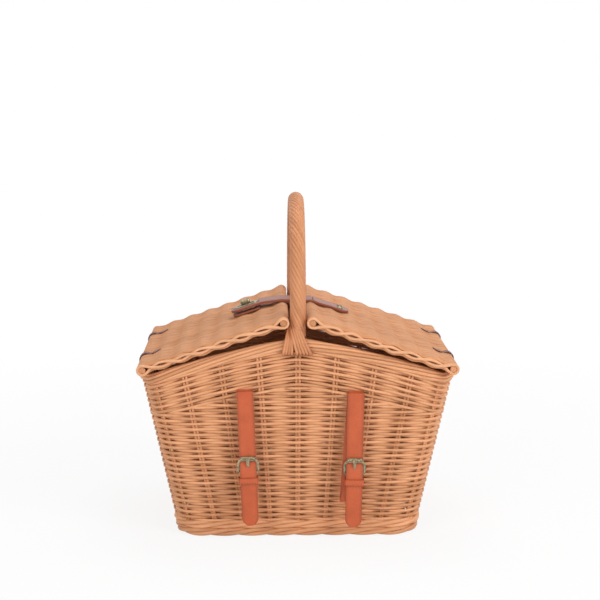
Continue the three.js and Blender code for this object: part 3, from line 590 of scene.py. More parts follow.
class BASKET_OT_base(bpy.types.Operator):
    """Weave the floor of the basket over its base sticks"""

    bl_idname = "basket.base"
    bl_label = "Weave Base"

    middle = 4.5
    weaver_radius = 1.9
    weaver_pitch = 3.9
    sway = 2.4
    sticks = 10
    stick_radius = 2.2
    stick_inset = 8.0
    edge_room = 1.0
    weaver_points = 61
    stick_points = 4

    def corner(self, away, half):
        """How far a round corner of the floor moves the ends of a rod in."""
        over = max(abs(away) - (half - CORNER_RADIUS + WALL), 0.0)
        return CORNER_RADIUS - WALL - math.sqrt(max((CORNER_RADIUS - WALL) ** 2 - over**2, 0.0))

    def execute(self, context):
        rods = Rods(6, seed=31)
        high = np.array(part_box("base_panel")[1]) / MM
        half_x, half_y = high[:2] - self.edge_room
        pitch = 2 * half_x / self.sticks
        count = round(2 * half_y / self.weaver_pitch)
        for row in range(count):
            y = -half_y + (row + 0.5) * 2 * half_y / count
            inset = self.corner(y, half_y)
            x = np.linspace(-half_x + inset, half_x - inset, self.weaver_points)
            beat = np.cos(math.pi * (x + half_x) / pitch + math.pi * row + math.pi / 2)
            path = np.stack([x, np.full_like(x, y), self.middle + self.sway * beat], axis=-1)
            rods.add(path, self.weaver_radius, (0, 1, 0))
        for stick in range(self.sticks + 1):
            x = -half_x + self.stick_inset + stick * 2 * (half_x - self.stick_inset) / self.sticks
            inset = self.corner(x, half_x)
            y = np.linspace(-half_y + inset, half_y - inset, self.stick_points)
            path = np.stack([np.full_like(y, x), y, np.full_like(y, self.middle)], axis=-1)
            rods.add(path, self.stick_radius, (0, 0, 1))
        settle(rods.finish("base_weave", finish("willow")), "basket", "willow_core", "base_panel")
        return {"FINISHED"}


def bow_line(count):
    """Lengths, points and outward normals along the bow's middle line, from the front rim to the back."""
    leg = HANDLE_SPRING_Z - HANDLE_BOTTOM
    arc = math.pi * (HANDLE_HALF_SPAN + HANDLE_BOW_RISE) / 2
    run = np.linspace(0, 2 * leg + arc, count)
    angle = np.clip((run - leg) / arc, 0, 1) * math.pi
    rise = np.where(run < leg, run - leg, np.where(run > leg + arc, leg + arc - run, 0.0))
    path = np.stack([np.zeros(count), -HANDLE_HALF_SPAN * np.cos(angle),
                     HANDLE_SPRING_Z + HANDLE_BOW_RISE * np.sin(angle) + rise], axis=-1)
    out = np.cross(unit(np.gradient(path, axis=0)), (1.0, 0.0, 0.0))
    return run, path, out


class BASKET_OT_handle(bpy.types.Operator):
    """Wind the bow's strands and fan their ends over the rim"""

    bl_idname = "basket.handle"
    bl_label = "Wind Handle"

    lightest = 0.7
    foot_above = 14.0
    foot_drop = 34.0
    foot_radius = 1.9
    foot_sink = 3.2
    foot_emerge = 2.4
    foot_over_rim = 1.2
    foot_tuck = 7.0
    foot_least = 2.0
    emerge_run = 0.2
    leave_from = 0.1
    leave_run = 0.45
    tuck_from = 0.86
    # Strands, places across at the bow and at the tips, how they ease over, and height over the lower bundle
    bundles = ((4, (-9.5, -6.5), (-19.0, -8.0), 0.65, 0.0), (5, (-9.0, 2.0), (-0.5, 16.5), 1.2, 1.5))

    def execute(self, context):
        sizes = context.scene.basket_sizes
        radius = sizes.handle_strand / MM / 2
        lay = sizes.handle_lay / MM
        rods = Rods(10, seed=41)
        run, path, out = bow_line(110)
        right = np.array((1.0, 0.0, 0.0))
        orbit = HANDLE_RADIUS - radius
        for strand in range(sizes.handle_strands):
            turn = 2 * math.pi * (strand / sizes.handle_strands + run / lay)
            spoke = np.cos(turn)[:, None] * out + np.sin(turn)[:, None] * right
            rods.add(path + orbit * spoke, radius, spoke, tint=self.lightest * rods.random.random())
        settle(rods.finish("handle_strands", finish("handle_willow")), "basket", "willow", "handle_wrap")
        for name, facing in (("front", -1), ("back", 1)):
            self.add_foot(name, facing)
        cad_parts["handle_core"].data.materials.clear()
        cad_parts["handle_core"].data.materials.append(finish("core_willow"))
        return {"FINISHED"}

    def add_foot(self, name, facing):
        """Two bundles of strand ends: one drops to the left, the other sweeps over it to the right."""
        rods = Rods(8, seed=42 + facing)
        rim_y = half_depth(RIM_TOP_PEAK) + RIM_PROUD
        fall = np.linspace(0, 1, 20)
        z = RIM_TOP_PEAK + self.foot_above - self.foot_drop * fall
        leave = np.clip((fall - self.leave_from) / self.leave_run, 0, 1)
        leave = leave * leave * (3 - 2 * leave)
        tuck = self.foot_tuck * np.clip((fall - self.tuck_from) / (1 - self.tuck_from), 0, 1) ** 2
        for count, top_x, low_x, ease, layer in self.bundles:
            for start, end in zip(np.linspace(*top_x, count), np.linspace(*low_x, count)):
                x = start + (end - start) * fall**ease
                bulge = np.sqrt(np.maximum(HANDLE_RADIUS**2 - x**2, self.foot_least**2))
                bow_y = HANDLE_HALF_SPAN + bulge
                emerge = -self.foot_sink + (self.foot_emerge + layer) * np.clip(fall / self.emerge_run, 0, 1)
                over = rim_y + self.foot_over_rim + layer - bow_y - emerge
                out = bow_y + emerge + over * leave - tuck
                rods.add(np.stack([-facing * x, facing * out, z], axis=-1), self.foot_radius, (0, facing, 0))
        piece = rods.finish(f"handle_foot_{name}_strands", finish("handle_willow"))
        settle(piece, "basket", "willow", f"handle_foot_{name}")


class BASKET_OT_lids(bpy.types.Operator):
    """Weave both lids over their sticks, with pale strands twined along the ends"""

    bl_idname = "basket.lids"
    bl_label = "Weave Lids"

    steps = 6
    stick_radius = 4.2
    stick_inset = 2.0
    stick_bevel = 0.6
    inner_inset = 7.2
    panel_inset = 6.5
    notch_reach = 12.2
    valley_lift = 1.1
    uneven = 0.35
    weaver_sway = 0.25
    sway_length = 31.0
    sway_start = 6.3
    coarse_below = 1.5
    edge_step = 1.4
    edge_drop = 1.0
    coil_turns = 4
    coil_radius = 5.4
    coil_half_width = 5.6
    coil_rod_radius = 1.6
    coil_points = 65
    press = 1.35
    twine_insets = (2.2, 5.2)
    twine_sway = 1.25
    twine_height = (0.36, 0.62)
    twine_shift = 3.5
    # Tints of the two strands in each layer: the strands differ in their own tone, and the inner layer's
    # lower tints are painted shade of its place behind the outer layer
    twine_tones_and_shade = ((0.85, 1.0), (0.5, 0.65))

    def execute(self, context):
        sizes = context.scene.basket_sizes
        self.radius = sizes.lid_weaver / MM / 2
        self.strand = sizes.edge_strand / MM / 2
        for name, side in LIDS.items():
            self.weave_panel(name, side, sizes.lid_pitch / MM)
            self.twine_ends(name, side)
            self.shape_sticks(name, side)
        return {"FINISHED"}

    def turned(self, u, v, reach, first=1.0, last=1.0):
        """A line that is carried on round the sticks at both of its ends."""
        turn = np.linspace(math.pi, math.pi / 2, 5)[:-1]
        u = np.concatenate([reach * np.cos(turn), u, LID_REACH - reach * np.cos(turn[::-1])])
        v = np.concatenate([first * reach * np.sin(turn), v, last * reach * np.sin(turn[::-1])])
        return u, v

    def crossing(self, over, reach):
        """A strand's line over and under the sticks from the eave to the ridge."""
        first = 1.0 if over == 0 else -1.0
        last = 1.0 if (STICK_COUNT - 1 + over) % 2 == 0 else -1.0
        u = np.linspace(0, LID_REACH, (STICK_COUNT - 1) * self.steps + 1)
        beat = np.cos(math.pi * u / STICK_PITCH + math.pi * over)
        v = reach * np.sign(beat) * np.abs(beat) ** self.press
        return self.turned(u, v, reach, first, last)

    def layer(self, radius, sag):
        """A weaver's line over the sticks on one face of the lid, dipping between them."""
        reach = BULGE_RADIUS - radius
        u = np.linspace(0, LID_REACH, (STICK_COUNT - 1) * self.steps + 1)
        dip = BULGE_RADIUS - VALLEY_HALF - self.valley_lift + sag
        v = reach - dip * (1 - np.cos(2 * math.pi * u / STICK_PITCH)) / 2
        return self.turned(u, v, reach)

    def weave_panel(self, name, side, pitch):
        """Close weavers on top with a lower one at each end, thicker ones below, and coils at the thongs."""
        rods = Rods(6, seed=51 + side)
        half = STICK_HALF_LENGTH - self.panel_inset
        for face, coarse in ((1, 1.0), (-1, self.coarse_below)):
            radius = self.radius * coarse
            count = round(2 * half / (pitch * coarse))
            for index in range(count + 1):
                y = -half + index * 2 * half / count
                u, v = self.layer(radius, rods.random.normal(0, self.uneven))
                if any(abs(y - spot) < THONG_NOTCH_HALF for spot in THONG_SPOTS.values()):
                    kept = u > self.notch_reach
                    v = np.append(np.interp(self.notch_reach, u, v), v[kept])
                    u = np.append(self.notch_reach, u[kept])
                start = self.sway_start * rods.random.random()
                sway = self.weaver_sway * np.sin(u / self.sway_length + start)
                rods.add(lid_points(side, u, y + sway, face * v), radius, (0, 1, 0))
        for end in (-1, 1):
            u, v = self.layer(self.radius, 0.0)
            path = lid_points(side, u, end * (half + self.edge_step), v - self.edge_drop)
            rods.add(path, self.radius, (0, 1, 0))
        for spot in THONG_SPOTS.values():
            turn = np.linspace(0, 2 * math.pi * self.coil_turns, self.coil_points)
            y = spot + np.linspace(-self.coil_half_width, self.coil_half_width, self.coil_points)
            coil = lid_points(side, self.coil_radius * np.cos(turn), y, self.coil_radius * np.sin(turn))
            rods.add(coil, self.coil_rod_radius, (0, 1, 0))
        piece = rods.finish(f"{name}_lid_panel", finish("lid_willow"))
        settle(piece, f"{name}_lid", "lid_willow", f"{name}_lid_weave")

    def twine_ends(self, name, side):
        """Two layers of crossing strands at each end, flatter and less even at the inner sticks."""
        rods = Rods(8, seed=61 + side)
        reach = self.stick_radius + self.strand
        sticks = STICK_PITCH * np.arange(STICK_COUNT)
        inner = STICK_COUNT - 2
        for end in (-1, 1):
            for layer, inset in enumerate(self.twine_insets):
                for over in (0, 1):
                    u, v = self.crossing(over, reach)
                    sway = self.twine_sway * np.sin(math.pi * u / STICK_PITCH + math.pi * over)
                    sway = np.where((u < 0) | (u > LID_REACH), 0.0, sway)
                    height = np.ones(STICK_COUNT)
                    height[1:-1] = rods.random.uniform(*self.twine_height, inner)
                    shift = np.zeros(STICK_COUNT)
                    shift[1:-1] = rods.random.uniform(-self.twine_shift, self.twine_shift, inner)
                    v = v * np.interp(u, sticks, height)
                    u = u + np.interp(u, sticks, shift)
                    y = end * (STICK_HALF_LENGTH - inset + sway)
                    # The strand's own tone, made darker on the inner layer as painted shade
                    tint = self.twine_tones_and_shade[layer][over]
                    rods.add(lid_points(side, u, y, v), self.strand, (0, 1, 0), tint=tint)
        piece = rods.finish(f"{name}_lid_twining", finish("edge_willow"))
        settle(piece, f"{name}_lid", "lid_willow")

    def shape_sticks(self, name, side):
        """Sticks with bevelled sawn ends, modelled once and copied along the slope."""
        half = STICK_HALF_LENGTH - self.stick_inset
        first = made(bpy.ops.mesh.primitive_cylinder_add, "stick", vertices=18, radius=self.stick_radius * MM,
                     depth=2 * half * MM, rotation=(math.pi / 2, 0, 0))
        apply(first, "BEVEL", width=self.stick_bevel * MM, segments=2)
        bpy.ops.object.shade_smooth_by_angle(angle=math.radians(40))
        grown = np.random.default_rng(71 + side)
        for stick in range(STICK_COUNT):
            mesh = first.data.copy()
            mesh.name = f"{name}_lid_stick_wood_{stick + 1}"
            if 0 < stick < STICK_COUNT - 1:
                shorter = (STICK_HALF_LENGTH - self.inner_inset) / half
                mesh.transform(Matrix.Scale(shorter, 4, (0, 1, 0)))
            centre = lid_points(side, stick * STICK_PITCH, 0.0, 0.0) * MM
            mesh.transform(Matrix.Translation(centre))
            tint = mesh.attributes.new("tint", "FLOAT", "POINT")
            tint.data.foreach_set("value", np.full(len(mesh.vertices), grown.random(), np.float32))
            mesh.uv_layers[0].name = "grain"
            mesh.materials.append(finish("core_willow"))
            piece = bpy.data.objects.new(mesh.name, mesh)
            bpy.context.scene.collection.objects.link(piece)
            settle(piece, f"{name}_lid", "willow_core", f"{name}_lid_stick_{stick + 1}")
        bpy.data.objects.remove(first)


# Leather and metal

CORNER_STEP = 6.0
LINE_STEP = 2.5
TIP_POINTS = 8


def chosen(piece):
    """Makes one object the active one and the only one selected."""
    bpy.ops.object.select_all(action="DESELECT")
    piece.select_set(True)
    bpy.context.view_layer.objects.active = piece


def apply(piece, kind, **settings):
    """Adds a modifier to a piece and applies it."""
    chosen(piece)
    bpy.ops.object.modifier_add(type=kind)
    modifier = piece.modifiers[-1]
    for key, value in settings.items():
        setattr(modifier, key, value)
    bpy.ops.object.modifier_apply(modifier=modifier.name)


def made(add_primitive, name, **settings):
    """A new primitive, selected alone, whose mesh has its place, turn and scale."""
    bpy.ops.object.select_all(action="DESELECT")
    add_primitive(**settings)
    piece = bpy.context.object
    piece.name = piece.data.name = name
    bpy.ops.object.transform_apply(location=True, rotation=True, scale=True)
    return piece


def soften(piece, width):
    """Turns the faces outwards and rounds the sharp edges."""
    chosen(piece)
    bpy.ops.object.mode_set(mode="EDIT")
    bpy.ops.mesh.select_all(action="SELECT")
    bpy.ops.mesh.normals_make_consistent(inside=False)
    bpy.ops.object.mode_set(mode="OBJECT")
    apply(piece, "BEVEL", width=width * MM, segments=2, limit_method="ANGLE", angle_limit=math.radians(35))
    bpy.ops.object.shade_smooth_by_angle(angle=math.radians(40))


def put(piece, place):
    """Moves a piece's points from its own frame into the basket's."""
    points = np.empty(len(piece.data.vertices) * 3, np.float32)
    piece.data.vertices.foreach_get("co", points)
    x, y, z = points.reshape(-1, 3).T / MM
    piece.data.vertices.foreach_set("co", (place(x, y, z) * MM).astype(np.float32).ravel())
    piece.data.update()


def join(piece, other):
    """Joins another object into a piece."""
    chosen(piece)
    other.select_set(True)
    bpy.ops.object.join()


def cut(piece, tool):
    """Cuts a tool's shape out of a piece and removes the tool."""
    apply(piece, "BOOLEAN", object=tool, operation="DIFFERENCE", solver="EXACT")
    bpy.data.objects.remove(tool)


def plate(name, length, width, thick, corner):
    """A flat plate in its own frame, X along and Y across it, round at its corners."""
    piece = made(bpy.ops.mesh.primitive_cube_add, name, size=MM, scale=(length, width, thick))
    bpy.ops.object.mode_set(mode="EDIT")
    bpy.ops.mesh.select_mode(type="EDGE")
    bpy.ops.mesh.select_all(action="DESELECT")
    bpy.ops.object.mode_set(mode="OBJECT")
    for edge in piece.data.edges:
        low, high = (piece.data.vertices[i].co for i in edge.vertices)
        edge.select = abs(low.z - high.z) > thick * MM / 2
    bpy.ops.object.mode_set(mode="EDIT")
    bpy.ops.mesh.bevel(offset=min(corner, 0.499 * width) * MM, segments=8, affect="EDGES")
    bpy.ops.object.mode_set(mode="OBJECT")
    return piece


def bent(corners, tips=(0.0, 0.0)):
    """A line with eased corners, and with closer points where its ends are to be rounded."""
    line = [np.asarray(corners[0], float)]
    for start, end in zip(np.asarray(corners[:-1], float), np.asarray(corners[1:], float)):
        parts = max(math.ceil(np.linalg.norm(end - start) / CORNER_STEP), 1)
        line += [start + (end - start) * (k + 1) / parts for k in range(parts)]
    line = np.array(line)
    for _ in range(2):
        near, far = line[:-1] * 0.75 + line[1:] * 0.25, line[:-1] * 0.25 + line[1:] * 0.75
        line = np.concatenate([line[:1], np.stack([near, far], axis=1).reshape(-1, 2), line[-1:]])
    run = np.concatenate([[0.0], np.cumsum(np.linalg.norm(np.diff(line, axis=0), axis=1))])
    arc = 1 - np.cos(np.linspace(0, math.pi / 2, TIP_POINTS))
    even = np.linspace(0, run[-1], max(round(run[-1] / LINE_STEP), 4))
    even = even[(even >= tips[0]) & (even <= run[-1] - tips[1])]
    marks = np.unique(np.round(np.concatenate([even, tips[0] * arc, run[-1] - tips[1] * arc]), 2))
    return np.stack([np.interp(marks, run, line[:, k]) for k in (0, 1)], axis=-1)


def strip(name, kind, corners, place, width, thick, tips=(0.0, 0.0)):
    """A strip along a line: a grid bent along it and thickened, with its tint at 1 along the cut edges."""
    line = bent(corners, tips)
    run = np.concatenate([[0.0], np.cumsum(np.linalg.norm(np.diff(line, axis=0), axis=1))])
    half = np.full(len(line), width / 2)
    for tip, left in zip(tips, (run, run[-1] - run)):
        if tip:
            near = np.clip(left, 0.02 * tip, tip)
            half = np.minimum(half, width / 2 - tip + np.sqrt(tip**2 - (tip - near) ** 2))
    bands = np.array([-1.0, -0.93, -0.6, -0.2, 0.2, 0.6, 0.93, 1.0])
    piece = made(bpy.ops.mesh.primitive_grid_add, name, size=2 * MM,
                 x_subdivisions=len(line) - 1, y_subdivisions=len(bands) - 1)
    edges = np.zeros(len(piece.data.vertices), np.float32)

    def along(x, y, z):
        i = np.rint((x + 1) / 2 * (len(line) - 1)).astype(int)
        j = np.rint((y + 1) / 2 * (len(bands) - 1)).astype(int)
        edges[:] = np.clip((np.abs(bands[j]) - 0.6) / 0.4, 0, 1)
        return place(bands[j] * half[i], line[i, 0], line[i, 1])

    put(piece, along)
    piece.data.attributes.new("tint", "FLOAT", "POINT").data.foreach_set("value", edges)
    piece.data.materials.append(finish(kind))
    apply(piece, "SOLIDIFY", thickness=thick * MM, offset=0.0)
    return piece


class BASKET_OT_thongs(bpy.types.Operator):
    """Loop the leather hinge thongs round the eaves and lay the straps under the lids"""

    bl_idname = "basket.thongs"
    bl_label = "Loop Thongs"

    width = 11.0
    thick = 1.7
    stick_gap = 0.9
    rim_gap = 3.65
    rim_middle = 8.7
    tail_line = ((10.8, 5.9), (15.0, 5.8), (21.5, 7.2))
    tail_width = 12.0
    tail_thick = 1.0
    tail_tips = (2.0, 3.0)
    tail_narrows = ((15.0, 21.5), (1.0, 0.6))
    under_u = 107.0
    under_v = -9.1
    under_half = 90.0
    under_width = 14.0
    under_thick = 2.4
    under_tips = (4.0, 4.0)

    def loop(self):
        """A thong's line round the eave stick and the rim, from the top of the stick."""
        snug, wide = BULGE_RADIUS + self.stick_gap, BULGE_RADIUS + self.rim_gap
        rim_x = half_width(RIM_BOTTOM_EAVE + RIM_SIZE / 4) + RIM_PROUD - RIM_SIZE / 2
        rim_z = RIM_BOTTOM_EAVE + self.rim_middle
        turn = np.linspace(0, math.pi, 13) - math.atan2(HINGE_X - rim_x, HINGE_Z - rim_z)
        line = [(HINGE_X + snug * math.cos(a), HINGE_Z + snug * math.sin(a)) for a in turn]
        line += [(rim_x - wide * math.cos(a), rim_z - wide * math.sin(a)) for a in turn]
        return line[6:] + line[:7]

    def execute(self, context):
        loop = self.loop()
        for name, side in LIDS.items():
            for spot, y in THONG_SPOTS.items():
                thong = strip(f"{name}_thong_{spot}", "thong_leather", loop,
                              lambda a, x, z: np.stack([side * x, y + a, z], axis=-1), self.width, self.thick)
                soften(thong, 0.3)
                settle(thong, "basket", "dark_leather", f"{name}_hinge_thong_{spot}")
                tail = strip(
                    f"{name}_thong_tail_{spot}", "thong_leather", self.tail_line,
                    lambda a, u, v: lid_points(side, u, y + a * np.interp(u, *self.tail_narrows), v),
                    self.tail_width, self.tail_thick, self.tail_tips)
                soften(tail, 0.3)
                settle(tail, f"{name}_lid", "dark_leather")
            line = [(-self.under_half, self.under_v), (self.under_half, self.under_v)]
            under = strip(f"{name}_under_strap", "thong_leather", line,
                          lambda a, y, v: lid_points(side, self.under_u + a, y, v),
                          self.under_width, self.under_thick, self.under_tips)
            soften(under, 0.4)
            settle(under, f"{name}_lid", "dark_leather", f"{name}_lid_inner_strap")
        return {"FINISHED"}


class BASKET_OT_ridge(bpy.types.Operator):
    """Make the ridge strap: its riveted half, its loose flap with the eyelet, and the turn lock below it"""

    bl_idname = "basket.ridge"
    bl_label = "Make Ridge Strap"

    width = 36.0
    thick = 3.0
    tip = 12.0
    seat = 7.8
    sag = 0.7
    start_u = 135.0
    fold_room = 1.1
    fold_line = ((181.0, 8.45), (LID_REACH + 0.1, 8.45))
    fold_thick = 1.3
    fold_narrower = 0.4
    rivet_u = 147.0
    rivet_spots = (-9.0, 9.0)
    rivet_size = (4.0, 4.0, 1.9)
    flap_v = 14.7
    flap_line = ((120.0, flap_v), (163.0, flap_v), (LID_REACH, 10.3))
    pivot = (LID_REACH + 0.6, 9.3)
    eyelet_size = (36.0, 18.0, 1.4)
    eyelet_slot = (24.0, 8.0)
    eyelet_corner = 9.0
    flap_slot = (26.0, 10.0)
    lock_u = 141.0
    patch_line = ((121.0, 9.0), (159.0, 9.0))
    patch_width = 38.0
    patch_thick = 2.4
    patch_corner = 7.6
    base_size = (26.0, 14.0, 1.5)
    base_corner = 7.0
    base_v = 11.0
    post_radius = 2.2
    post_length = 6.6
    post_v = 14.8
    button_size = (13.0, 5.5, 6.0)
    button_corner = 2.7
    button_v = 21.3

    def execute(self, context):
        self.fixed_half()
        self.flap()
        self.turn_lock()
        return {"FINISHED"}

    def on_left(self, v):
        return lambda x, y, z: lid_points(-1, self.lock_u + x, y, v + z)

    def metal_plate(self, name, body, node, size, corner, v, hole=None):
        piece = plate(name, *size, corner)
        if hole:
            cut(piece, plate("slot_tool", hole[0], hole[1], 4 * size[2], hole[1] / 2))
        put(piece, self.on_left(v))
        soften(piece, 0.35 * size[2])
        piece.data.materials.append(finish("metal"))
        if node:
            settle(piece, body, "antique_metal", node)
        return piece

    def fixed_half(self):
        """The half on the right lid, which stops short of the fold but for a thin tongue under it."""
        middle = self.seat + self.thick / 2
        u = np.linspace(self.start_u, LID_REACH - self.fold_room, 24)
        sag = self.sag * (1 - np.cos(2 * math.pi * u / STICK_PITCH)) / 2
        fixed = strip("ridge_strap_leather", "ridge_leather", np.stack([u, middle - sag], axis=-1),
                      lambda a, along, v: lid_points(1, along, a, v), self.width, self.thick, (self.tip, 0.0))
        soften(fixed, 0.6)
        fold = strip("ridge_fold_leather", "ridge_leather", self.fold_line,
                     lambda a, along, v: lid_points(1, along, a, v), self.width - self.fold_narrower,
                     self.fold_thick)
        soften(fold, 0.2)
        join(fixed, fold)
        settle(fixed, "right_lid", "brown_leather", "ridge_strap")
        for number, y in enumerate(self.rivet_spots, 1):
            rivet = made(bpy.ops.mesh.primitive_uv_sphere_add, f"ridge_rivet_{number}", segments=20,
                         ring_count=10, radius=MM, scale=self.rivet_size)
            put(rivet, lambda x, b, z: lid_points(1, self.rivet_u + x, y + b, middle + self.thick / 2 + z))
            bpy.ops.object.shade_smooth()
            rivet.data.materials.append(finish("metal"))
            settle(rivet, "right_lid", "antique_metal", f"ridge_strap_rivet_{number}")

    def flap(self):
        left = [lid_points(-1, u, 0.0, v) for u, v in self.flap_line]
        corners = [(p[0], p[2]) for p in (*left, lid_points(1, self.pivot[0], 0.0, self.pivot[1]))]
        flap = strip("ridge_flap_leather", "ridge_leather", corners,
                     lambda a, x, z: np.stack([x, a, z], axis=-1), self.width, self.thick, (self.tip, 0.0))
        tool = plate("slot_tool", *self.flap_slot, 4 * self.thick, self.flap_slot[1] / 2)
        put(tool, self.on_left(self.flap_v))
        cut(flap, tool)
        soften(flap, 0.6)
        settle(flap, "strap_flap", "brown_leather", "ridge_strap_flap")
        middle = self.flap_v + (self.thick + self.eyelet_size[2]) / 2
        self.metal_plate(
            "ridge_eyelet", "strap_flap", "eyelet_plate", self.eyelet_size, self.eyelet_corner, middle,
            self.eyelet_slot)

    def turn_lock(self):
        tips = (self.patch_corner, self.patch_corner)
        patch = strip("lock_patch_leather", "ridge_leather", self.patch_line,
                      lambda a, u, v: lid_points(-1, u, a, v), self.patch_width, self.patch_thick, tips)
        soften(patch, 0.5)
        settle(patch, "left_lid", "brown_leather", "turn_lock_patch")
        base = self.metal_plate("lock_base", "left_lid", None, self.base_size, self.base_corner, self.base_v)
        post = made(bpy.ops.mesh.primitive_cylinder_add, "lock_post", vertices=20,
                    radius=self.post_radius * MM, depth=self.post_length * MM)
        put(post, self.on_left(self.post_v))
        bpy.ops.object.shade_smooth_by_angle(angle=math.radians(40))
        post.data.materials.append(finish("metal"))
        join(base, post)
        settle(base, "left_lid", "antique_metal", "turn_lock_base")
        self.metal_plate(
            "lock_button", "lock_button", "turn_button", self.button_size, self.button_corner, self.button_v)


STRAP_SLOTS = {"left": (-67.0, 196.0, math.radians(-2.2)), "right": (73.0, 193.0, math.radians(1.0))}


def strap_points(side, x, y, z, hanging=True):
    """Points of a blanket strap's frame, which hangs from its slot in the wall, in the basket's frame."""
    slot_x, slot_z, lean = STRAP_SLOTS[side]
    lean = lean if hanging else 0.0
    x, y, z = np.broadcast_arrays(np.asarray(x, float), y, z)
    across = slot_x + x * math.cos(lean) + z * math.sin(lean)
    height = slot_z - x * math.sin(lean) + z * math.cos(lean)
    return np.stack([across, y - half_depth(slot_z), height], axis=-1)


